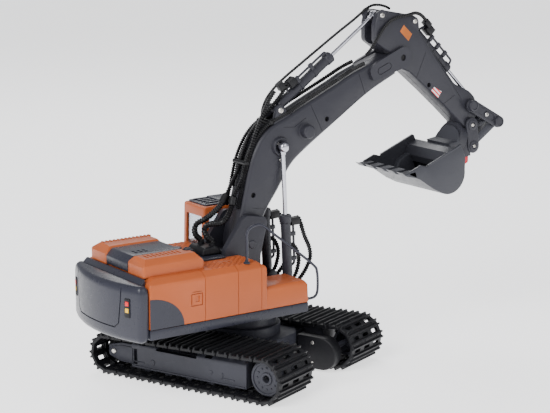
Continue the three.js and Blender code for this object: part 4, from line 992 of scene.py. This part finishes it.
# Near-black discs inside the arm's holes: painted shade for the depth of the holes.
piece("arm_hole_shadows", merge([drum((177.2, 213.6), 1.8, *across(side, ARM_HALF - 3.9,
                                                                   ARM_HALF - 2.4), "y", 0.1)
                                 for side in (-1, 1)]), "arm", HOLE_SHADE, "hose_black")
sticker = [(149.4, 264.9), (158.2, 256.9), (154.5, 251.6), (145.6, 259.9)]
hazard = [(182.9, 211.6), (190.9, 207.1), (187, 202), (179.5, 208.8)]
for name, outline, look, slot in (("arm_sticker", sticker, STICKER, "body_orange"),
                                  ("arm_hazard", hazard, HAZARD, "tab_red")):
    piece(name, merge([slab(outline, *across(side, ARM_HALF - 0.1, ARM_HALF + 0.08), "y", 0)
                       for side in (-1, 1)]), "arm", look, slot)

# ------------------------------------------------------------------ linkage and bucket
rocker_outline = capsule(ROCKER_PIVOT, ROCKER_TIP, 5.4, 5.2, 18)
middle = mix(ROCKER_PIVOT, ROCKER_TIP, 0.55)
rocker_bodies = []
for side in (-1, 1):
    plate = slab(rocker_outline, *across(side, 10.8, 13.5), "y", 0.7, 3)
    dish = slab(capsule(mix(ROCKER_PIVOT, ROCKER_TIP, 0.32), mix(ROCKER_PIVOT, ROCKER_TIP, 0.74),
                        3.1, 3.1, 12), *across(side, 12.9, 15), "y", 0)
    plate = cut(plate, dish)
    bosses = [lathe([(r, side * 12.4), (r, side * (out - 0.9)), (r - 0.3, side * (out - 0.3)),
                     (r - 1, side * out), (r - 1.4, side * out), (r - 1.6, side * (out - 0.5))],
                    at, "y", 48) for at, r, out in ((ROCKER_PIVOT, 4.9, 16.6),
                                                    (ROCKER_TIP, 4.7, 15.6))]
    rocker_bodies.append(merge(plate, bosses, drum(middle, 2.6, *across(side, 12.6, 13.6))))
rocker_bodies.append(drum(ROCKER_TIP, 1.6, -12, 12))
piece("rocker", merge(rocker_bodies), "rocker", ARM, "arm_grey", ["rocker"])
piece("rocker_screws", merge([screw(middle, 12.8, 14.2, side, 1.9) for side in (-1, 1)]),
      "rocker", STEEL, "steel")

link_sides = [slab(capsule(LINK_FOOT, ROCKER_TIP, 3.5, 3.5, 14), *across(side, 4, 9.8), "y", 0.5)
              for side in (-1, 1)]
link_web = slab([mix(LINK_FOOT, ROCKER_TIP, 0.3), mix(LINK_FOOT, ROCKER_TIP, 0.7)] and
                capsule(mix(LINK_FOOT, ROCKER_TIP, 0.36), mix(LINK_FOOT, ROCKER_TIP, 0.62),
                        2, 2, 8), -5, 5, "y", 0.3)
piece("bucket_link", merge(link_sides, link_web), "link", FRAME, "frame_grey", ["bucket_link"])

# quick coupler: two cheeks, a tilting drum and its lock plate
TILT = math.radians(24.6)


def tilted(centre, radius, length, edge=0.6, sides=72):
    """A drum whose axis leans with the coupler; centre is (x, z)."""
    body = drum((0, 0), radius, -length / 2, length / 2, "z", edge, sides)
    turn = Matrix.Translation((centre[0], 0, centre[1])) @ Matrix.Rotation(-math.pi / 2 + TILT, 4,
                                                                          "Y")
    return moved(body, turn)


cheek_outline = capsule(LINK_FOOT, ARM_END, 6.2, 6.2, 18)
cheeks, coupler_screws = [], []
for side in (-1, 1):
    plate = slab(cheek_outline, *across(side, 10.8, 13.5), "y", 0.8, 3)
    rims = [lathe([(4.6, side * 13.2), (4.6, side * 13.9), (4.0, side * 14.3),
                   (2.4, side * 14.3), (2.0, side * 13.6)], at, "y", 40)
            for at in (LINK_FOOT, ARM_END)]
    cheeks += [plate, *rims]
    coupler_screws += [screw(at, 13.4, 14.7, side, 1.5) for at in (LINK_FOOT, ARM_END)]
head = cut(tilted((212.4, 164.4), 15, 9, 1.0), drum(ARM_END, 8.4, -10.6, 10.6, "y", 0),
           drum(LINK_FOOT, 5.4, -10.6, 10.6, "y", 0))
core = cut(slab([(214.8, 149), (223, 150), (221.6, 165), (217, 170), (210, 172)], -12.5, 12.5,
                "y", 0.5), drum(ARM_END, 8.4, -10.6, 10.6, "y", 0),
           drum(LINK_FOOT, 5.4, -10.6, 10.6, "y", 0))
piece("coupler", merge(cheeks, head, core), "bucket", ARM, "arm_grey", ["quick_coupler"])
piece("coupler_screws", merge(coupler_screws, drum(LINK_FOOT, 1.6, -12, 12)), "bucket", STEEL,
      "steel")

# bucket: curved shell, side plates, lip and teeth
bucket_outline = anticlockwise([(195.3, 164.6), (159, 150.2), (152.7, 151.9), (142, 147.8),
                                (139.5, 145), (152, 140), (166.9, 130.4)] +
                               arc((183.4, 141.2), 16.9, -118, 8, 24) + [(200.2, 153.9)])
bucket_cavity = anticlockwise([(196.5, 168), (140, 151), (136, 146), (152.8, 142.4),
                               (167.8, 132.4)] + arc((183.2, 141.4), 14.9, -116, 6, 24) +
                              [(198, 153.6)])
shell = cut(slab(bucket_outline, -32, 32, "y", 0.7, 3), slab(bucket_cavity, -30, 30, "y", 0))
teeth = []
for y, half in ((-27.6, 4.4), (-14, 4.6), (0, 4.6), (14, 4.6), (27.6, 4.4)):
    teeth.append(slab([(147, 147.4), (137, 146.4), (133.4, 147.4), (137.4, 144.2), (149, 141.4)],
                      y - half, y + half, "y", 0.5))
step_plate = slab([(197, 161), (187.6, 157.6), (186, 149.4), (189.6, 143.4), (199.6, 146)], -30.4,
                  30.4, "y", 0.8)
gusset = slab([(187, 150.6), (176.4, 146), (170, 134.6), (196, 130)], -30.4, -24, "y", 0.8)
far_gusset = slab([(187, 150.6), (176.4, 146), (170, 134.6), (196, 130)], 24, 30.4, "y", 0.8)
ledge = slab([(196.6, 163), (199, 157), (199.6, 150), (205, 148.6), (208, 160), (206, 164.4)],
             -15, 15, "y", 0.6)
flange = tilted((206.4, 161.6), 15, 3.4)
rims = [slab([(160.4, 150.2), (195, 163.8), (194.4, 165.2), (159.6, 151.4)],
             *across(side, 30.2, 32.4), "y", 0.4) for side in (-1, 1)]
piece("bucket", merge(shell, teeth, ledge, flange, step_plate, gusset, far_gusset, rims), "bucket",
      BUCKET, "arm_grey", ["bucket"])
piece("release_tab", slab(rounded([(218.5, 148.6), (219.5, 141.6), (223, 140.5), (228, 142.4),
                                   (228, 148.6)], 1.6), -4, 4, "y", 0.8, 3), "release", RED, "tab_red",
      ["release_tab"])

# ------------------------------------------------------------------ hydraulic cylinders
def turned(profile, a, b, y, sides=40):
    """A surface of revolution about the line a-b at one side; profile is (radius, distance)."""
    body = lathe(profile, (0, 0), "z", sides)
    slope = math.atan2(b[0] - a[0], b[1] - a[1])
    return moved(body, Matrix.Translation((a[0], y, a[1])) @ Matrix.Rotation(slope, 4, "Y"))


def bored(a, b, y, start, end, radius):
    """A tool that opens the bore of a barrel."""
    return turned([(radius, start), (radius, end)], a, b, y, 32)


CYLINDERS = [("lift_cylinder_left", LIFT_BASE, LIFT_EYE, LIFT_SIDE, 4.0, 54, 3.0, 1.8, 34, 4.2, 3.4,
              "lift_barrel_left", "lift_rod_left"),
             ("lift_cylinder_right", LIFT_BASE, LIFT_EYE, -LIFT_SIDE, 4.0, 54, 3.0, 1.8, 34, 4.2, 3.4,
              "lift_barrel_right", "lift_rod_right"),
             ("arm_cylinder", ARM_CYL_BASE, ARM_CYL_EYE, 0, 3.9, 66, 3.2, 1.5, 42, 3.2, 3.2,
              "arm_barrel", "arm_rod"),
             ("bucket_cylinder", BUCKET_CYL_BASE, ROCKER_TIP, 0, 3.4, 62, 2.6, 1.5, 36, 3.2, 3.2,
              "bucket_barrel", "bucket_rod")]
EYE_HALF = 3
for (kind, base, eye, y, outer, mouth, bore, thin, tip, base_eye, rod_eye, barrel_body,
     rod_body) in CYLINDERS:
    collar = outer + 0.8
    tube_profile = [(outer - 0.8, 3.6), (outer - 0.3, 4.2), (outer, 6), (outer, mouth - 6.4),
                    (collar - 0.2, mouth - 6.0), (collar, mouth - 5.6), (collar, mouth - 0.6),
                    (collar - 0.5, mouth), (bore + 0.3, mouth)]
    barrel = turned(tube_profile, base, eye, y)
    lug = slab(arc(base, base_eye, 0, 360, 40)[:-1], y - EYE_HALF, y + EYE_HALF, "y", 0.5)
    pin_hole = drum(base, 1.5, y - 5, y + 5, "y", 0)
    barrel = cut(joined(barrel, lug), bored(base, eye, y, base_eye + 1.5, mouth + 2, bore), pin_hole)
    piece(f"{kind}_tube", barrel, barrel_body, ARM, "arm_grey", [f"{kind}_barrel"])
    length = math.dist(base, eye)
    shaft = turned([(thin - 0.3, tip), (thin, tip + 0.4), (thin, length - 2)], base, eye, y)
    ball = turned([(0.6, length - rod_eye - 3.4), (rod_eye * 0.72, length - rod_eye - 2.4),
                   (rod_eye * 0.8, length - rod_eye * 0.5)], base, eye, y)
    ring = slab(arc(eye, rod_eye, 0, 360, 40)[:-1], y - EYE_HALF, y + EYE_HALF, "y", 0.8)
    rod_solid = cut(joined(shaft, ball, ring), drum(eye, 1.5, y - 5, y + 5, "y", 0))
    if "lift" in kind:
        side = 1 if y > 0 else -1
        dome = lathe([(3.9, side * 14.6), (3.9, side * 17.2), (3.5, side * 18.1),
                      (2.6, side * 18.8), (1.2, side * 19.1)], eye, "y", 40)
        rod_solid = merge(rod_solid, dome)
    piece(f"{kind}_piston", rod_solid, rod_body, CHROME, "chrome", [f"{kind}_rod"])

# ------------------------------------------------------------------ hoses and pipes
def beside(a, b, distance, offset, y):
    """A point by the line a-b: so far along it and so far to its left, at one y."""
    ahead = (Vector(b) - Vector(a)).normalized()
    x, z = Vector(a) + ahead * distance + Vector((-ahead.y, ahead.x)) * offset
    return (x, y, z)


def in_frame(point):
    return tuple(MACHINE @ Vector(point))


def above_boom(y, lift, points):
    """A run above the boom's back, at one y."""
    run = []
    for i, (x, z) in enumerate(points):
        xa, za = points[max(i - 1, 0)]
        xb, zb = points[min(i + 1, len(points) - 1)]
        length = math.hypot(xb - xa, zb - za)
        run.append((x - (zb - za) / length * lift, y, z + (xb - xa) / length * lift))
    return run


RIB = 0.75
base_routes = {
    "left": [(-37.6, 3.5, 106.6), (-38.2, 3.5, 108.4), (-43, 3, 113), (-44.5, 2, 118),
             (-42.5, 1, 122.4), (-37, 0.5, 124.4), (-28, 1, 128.8), (-19.5, 2.5, 134.6),
             (-13.6, 4.2, 141)],
    "right": [(-34, -6.5, 106.6), (-34.4, -6.5, 108.4), (-39, -6.5, 113), (-41, -6.5, 118),
              (-38.5, -6.5, 121.6), (-33, -6.5, 122.2), (-25, -6, 122), (-19, -5.5, 126),
              (-14.5, -4.6, 134), (-12.4, -4.4, 141)]}
for hand, route in base_routes.items():
    piece(f"base_sheath_{hand}", tube(route, 2.5, 16, 0.5, RIB),
          ("house", "boom", in_frame(route[5]), in_frame(route[-1])), HOSE, "hose_black",
          [f"base_hose_{hand}"])
back_line = ([(112, 233.7)] + boom_upper[1:-1] + [(-8.7, 131)])[::-1]
sheaths = [tube(above_boom(y, 2.6, back_line), 1.75, 14, 0.42, RIB) for y in (-8, 8)]
sheaths += [tube(above_boom(y, 2.2, back_line[1:7]), 1.0, 12, 1.2) for y in (-4.4, 4.4)]
bars = []
for k in (2, 5):
    x, _, z = above_boom(0, 2.6, back_line)[k]
    bars.append(rod((x, -9.6, z), (x, 9.6, z), 1.9, 20, 0.5))
risers = [[(-13.6, 4.2, 141), (-9.6, 2.6, 150), (-4.6, 1, 161), (0, 1, 174), (5, 0.6, 185.7),
           (11, 0, 193.5), (17.3, -0.4, 199.6), (25, -1, 207), (32.7, -1.4, 214.6),
           (38, -1.6, 221), (41, -1.6, 224)],
          [(-12.4, -4.4, 141), (-8.2, -6.8, 151), (-4, -8, 160), (-0.9, -8, 169.8), (4, -7.6, 184.2),
           (10.6, -6.6, 197.7), (17.2, -5, 208), (21.5, -3.6, 213.5), (27, -2.6, 219.4)]]
sheaths += [tube(route, 1.9, 14, 0.5, RIB) for route in risers]
bars += [rod(base_routes[hand][-2], base_routes[hand][-1], 3.0, 20, 0.6) for hand in base_routes]
piece("boom_sheaths", merge(sheaths, bars), "boom", HOSE, "hose_black", ["boom_hoses"])
arm_line = [(20, 4.6, 199.5), (21, 4.6, 206), (25, 4.4, 214), (32, 4, 221.6), (41.4, 3.2, 229.2),
            (56, 3, 238.5), (90, 3, 259.5), (108, 3.2, 270), (116, 3.4, 275), (122, 3.6, 278.8),
            (128, 3.4, 281), (134, 2.6, 281), (139.6, 1.6, 279.6), (143.6, 1, 277.6)]
piece("arm_cylinder_sheath", tube(arm_line, 1.2, 14, 0.42, 0.3),
      ("boom", "arm", in_frame((100, 0, 262)), in_frame((136, 0, 284))), HOSE, "hose_black",
      ["arm_cylinder_hose"])
arm_run = [(112, -9, 242.8), (114.6, -11, 246.6), (118, -12.8, 252.6), (122, -12.8, 258),
           (127.4, -12.6, 264), (134.5, -12.4, 269.2), (143.7, -12.4, 272), (154, -12.2, 273.3),
           (161, -10.6, 274), (167.8, -8.6, 272.4), (173, -7, 269.4), (177.6, -5.6, 266)]
piece("arm_sheaths", tube(arm_run, 1.5, 14, 0.42, 0.5),
      ("boom", "arm", in_frame(arm_run[1]), in_frame(arm_run[5])), HOSE, "hose_black",
      ["arm_hoses"])

# pipes clipped along the cylinders, with black unions at their ends
def boxed(a, b, start, end, low, high, y0, y1, edge=0.5):
    """A block beside the line a-b: a stretch of it, between two distances from it."""
    corners = [beside(a, b, d, o, 0) for d, o in ((start, low), (end, low), (end, high),
                                                  (start, high))]
    return slab([(x, z) for x, _, z in corners], y0, y1, "y", edge)


def piping(a, b, outer, first, last, reach, y, clip_at):
    """A pipe beside a barrel from one union to another, held by clips."""
    line = [beside(a, b, d, o, y) for d, o in
            ((first, outer - 0.4), (first + 1.6, reach - 0.6), (first + 5, reach),
             ((first + last) / 2, reach), (last - 4, reach), (last - 1, reach - 0.6),
             (last, outer - 0.4))]
    clips = [turned([(outer, d), (outer + 0.5, d + 0.3), (outer + 0.5, d + 2.7),
                     (outer, d + 3)], a, b, 0) for d in clip_at] if abs(y) < 5 else []
    clips += [boxed(a, b, d, d + 3, outer - 0.4, reach + 1.5, y - 1.5, y + 1.5, 0.4)
              for d in clip_at]
    return merge(tube(line, 0.95, 14, 0.9), clips)


piece("arm_cylinder_pipe", piping(ARM_CYL_BASE, ARM_CYL_EYE, 3.9, 16, 63, 7.4, -1.8, (28, 44)),
      "arm_barrel", ARM, "arm_grey")
unions = [boxed(ARM_CYL_BASE, ARM_CYL_EYE, 20, 27, 5, 11.4, -5, 2.4, 0.8),
          boxed(ARM_CYL_BASE, ARM_CYL_EYE, 11.4, 16.6, 9.4, 15.6, -4.4, 1.6, 0.8),
          tube([beside(ARM_CYL_BASE, ARM_CYL_EYE, d, o, -1.6) for d, o in
                ((12, 11), (17, 11.6), (22, 9.4))], 1.5, 14, 0.5, 0.3)]
piece("arm_cylinder_unions", merge(unions), "arm_barrel", TRACK, "track_black")
piece("bucket_cylinder_pipe", piping(BUCKET_CYL_BASE, ROCKER_TIP, 3.4, 14, 59, 7.0, -2.4,
                                     (27, 37, 47)), "bucket_barrel", ARM, "arm_grey")
unions = [boxed(BUCKET_CYL_BASE, ROCKER_TIP, 17, 25, 5, 12, -6.4, 1.6, 0.9),
          boxed(BUCKET_CYL_BASE, ROCKER_TIP, 11.4, 18, 7.6, 12.6, -7.4, -1.4, 0.8),
          tube([beside(BUCKET_CYL_BASE, ROCKER_TIP, d, o, -4.4) for d, o in
                ((10.4, 11), (15, 11.4), (20, 9.6))], 1.6, 14, 0.5, 0.3)]
piece("bucket_cylinder_unions", merge(unions), "bucket_barrel", TRACK, "track_black")
for side, hand in ((-1, "right"), (1, "left")):
    y = side * LIFT_SIDE
    line = [beside(LIFT_BASE, LIFT_EYE, d, o, y) for d, o in
            ((12, -3.6), (13.4, -6.2), (17, -7.0), (34, -7.0), (45, -7.0), (48, -6.0), (49, -3.6))]
    clips = [boxed(LIFT_BASE, LIFT_EYE, d, d + 3.2, -8.6, -3.2, y - 1.5, y + 1.5, 0.4)
             for d in (16, 36)]
    piece(f"lift_pipe_{hand}", merge(tube(line, 1.0, 14, 0.9), clips), f"lift_barrel_{hand}",
          ARM, "arm_grey")
    union = boxed(LIFT_BASE, LIFT_EYE, 44.6, 51, -12.4, -4, y - 3, y + 3, 1)
    loops = [tube([beside(LIFT_BASE, LIFT_EYE, d, o, y) for d, o in run], 2.0, 16, 0.5, RIB)
             for run in (((49, -8.6), (49.6, -12), (45, -14.4), (34, -17.6), (24, -21.8),
                          (15.5, -22.6), (8, -19), (2, -14), (-4, -7)),
                         ((29, -4.4), (27, -7.6), (21, -10.6), (15, -11.4), (8, -9.6), (3, -7),
                          (-2, -2)))]
    piece(f"lift_hoses_{hand}", merge(union, loops), f"lift_barrel_{hand}", HOSE, "hose_black")

# ------------------------------------------------------------------ floor, light and camera
GROUND = bpy.data.meshes.new("floor")
GROUND.from_pydata([(-6, -6, 0), (6, -6, 0), (6, 6, 0), (-6, 6, 0)], [], [(0, 1, 2, 3)])
floor = bpy.data.objects.new("floor", GROUND)
paper, nodes, links, shader, place = surface("white_paper")
links.new(toned(nodes, links, noise(nodes, links, place, 3), (0.94, 0.94, 0.95), 0.01),
          shader.inputs["Base Color"])
shader.inputs["Roughness"].default_value = 0.9
shader.inputs["Emission Color"].default_value = (1, 1, 1, 1)
shader.inputs["Emission Strength"].default_value = 1.3
GROUND.materials.append(paper)
bpy.context.scene.collection.objects.link(floor)
floor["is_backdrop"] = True

world = bpy.context.scene.world or bpy.data.worlds.new("studio")
bpy.context.scene.world = world
world.use_nodes = True
world.node_tree.nodes["Background"].inputs["Color"].default_value = (0.93, 0.95, 1.0, 1)
world.node_tree.nodes["Background"].inputs["Strength"].default_value = 0.45


def softbox(name, place, target, size, power):
    lamp = bpy.data.lights.new(name, "AREA")
    lamp.shape, lamp.size, lamp.energy = "SQUARE", size, power
    holder = bpy.data.objects.new(name, lamp)
    holder.location = place
    aim = Vector(target) - Vector(place)
    holder.rotation_euler = aim.to_track_quat("-Z", "Y").to_euler()
    bpy.context.scene.collection.objects.link(holder)


GROUND_POINT = Vector((SLEW.x, SLEW.y, 0))
CENTRE = GROUND_POINT + Vector((0.03, 0, 0.11))
softbox("key", CENTRE + Vector((-1.3, -0.55, 1.0)), CENTRE, 0.9, 27)
softbox("fill", CENTRE + Vector((0.5, -1.4, 0.8)), CENTRE, 1.0, 6)
softbox("back", CENTRE + Vector((0.5, 1.1, 1.2)), CENTRE, 0.8, 10)

lens = bpy.data.cameras.new("camera")
lens.lens, lens.sensor_width = 111.3, 36
lens.clip_start, lens.clip_end = 0.05, 20
camera = bpy.data.objects.new("camera", lens)
camera.location = GROUND_POINT + Vector((-0.7222, -1.0857, 0.4077))
camera.rotation_euler = (math.radians(78), 0, math.radians(-34.7))
bpy.context.scene.collection.objects.link(camera)
bpy.context.scene.camera = camera

[[list(map(float, corner)) for corner in box] for box in (cad_box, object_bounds())]
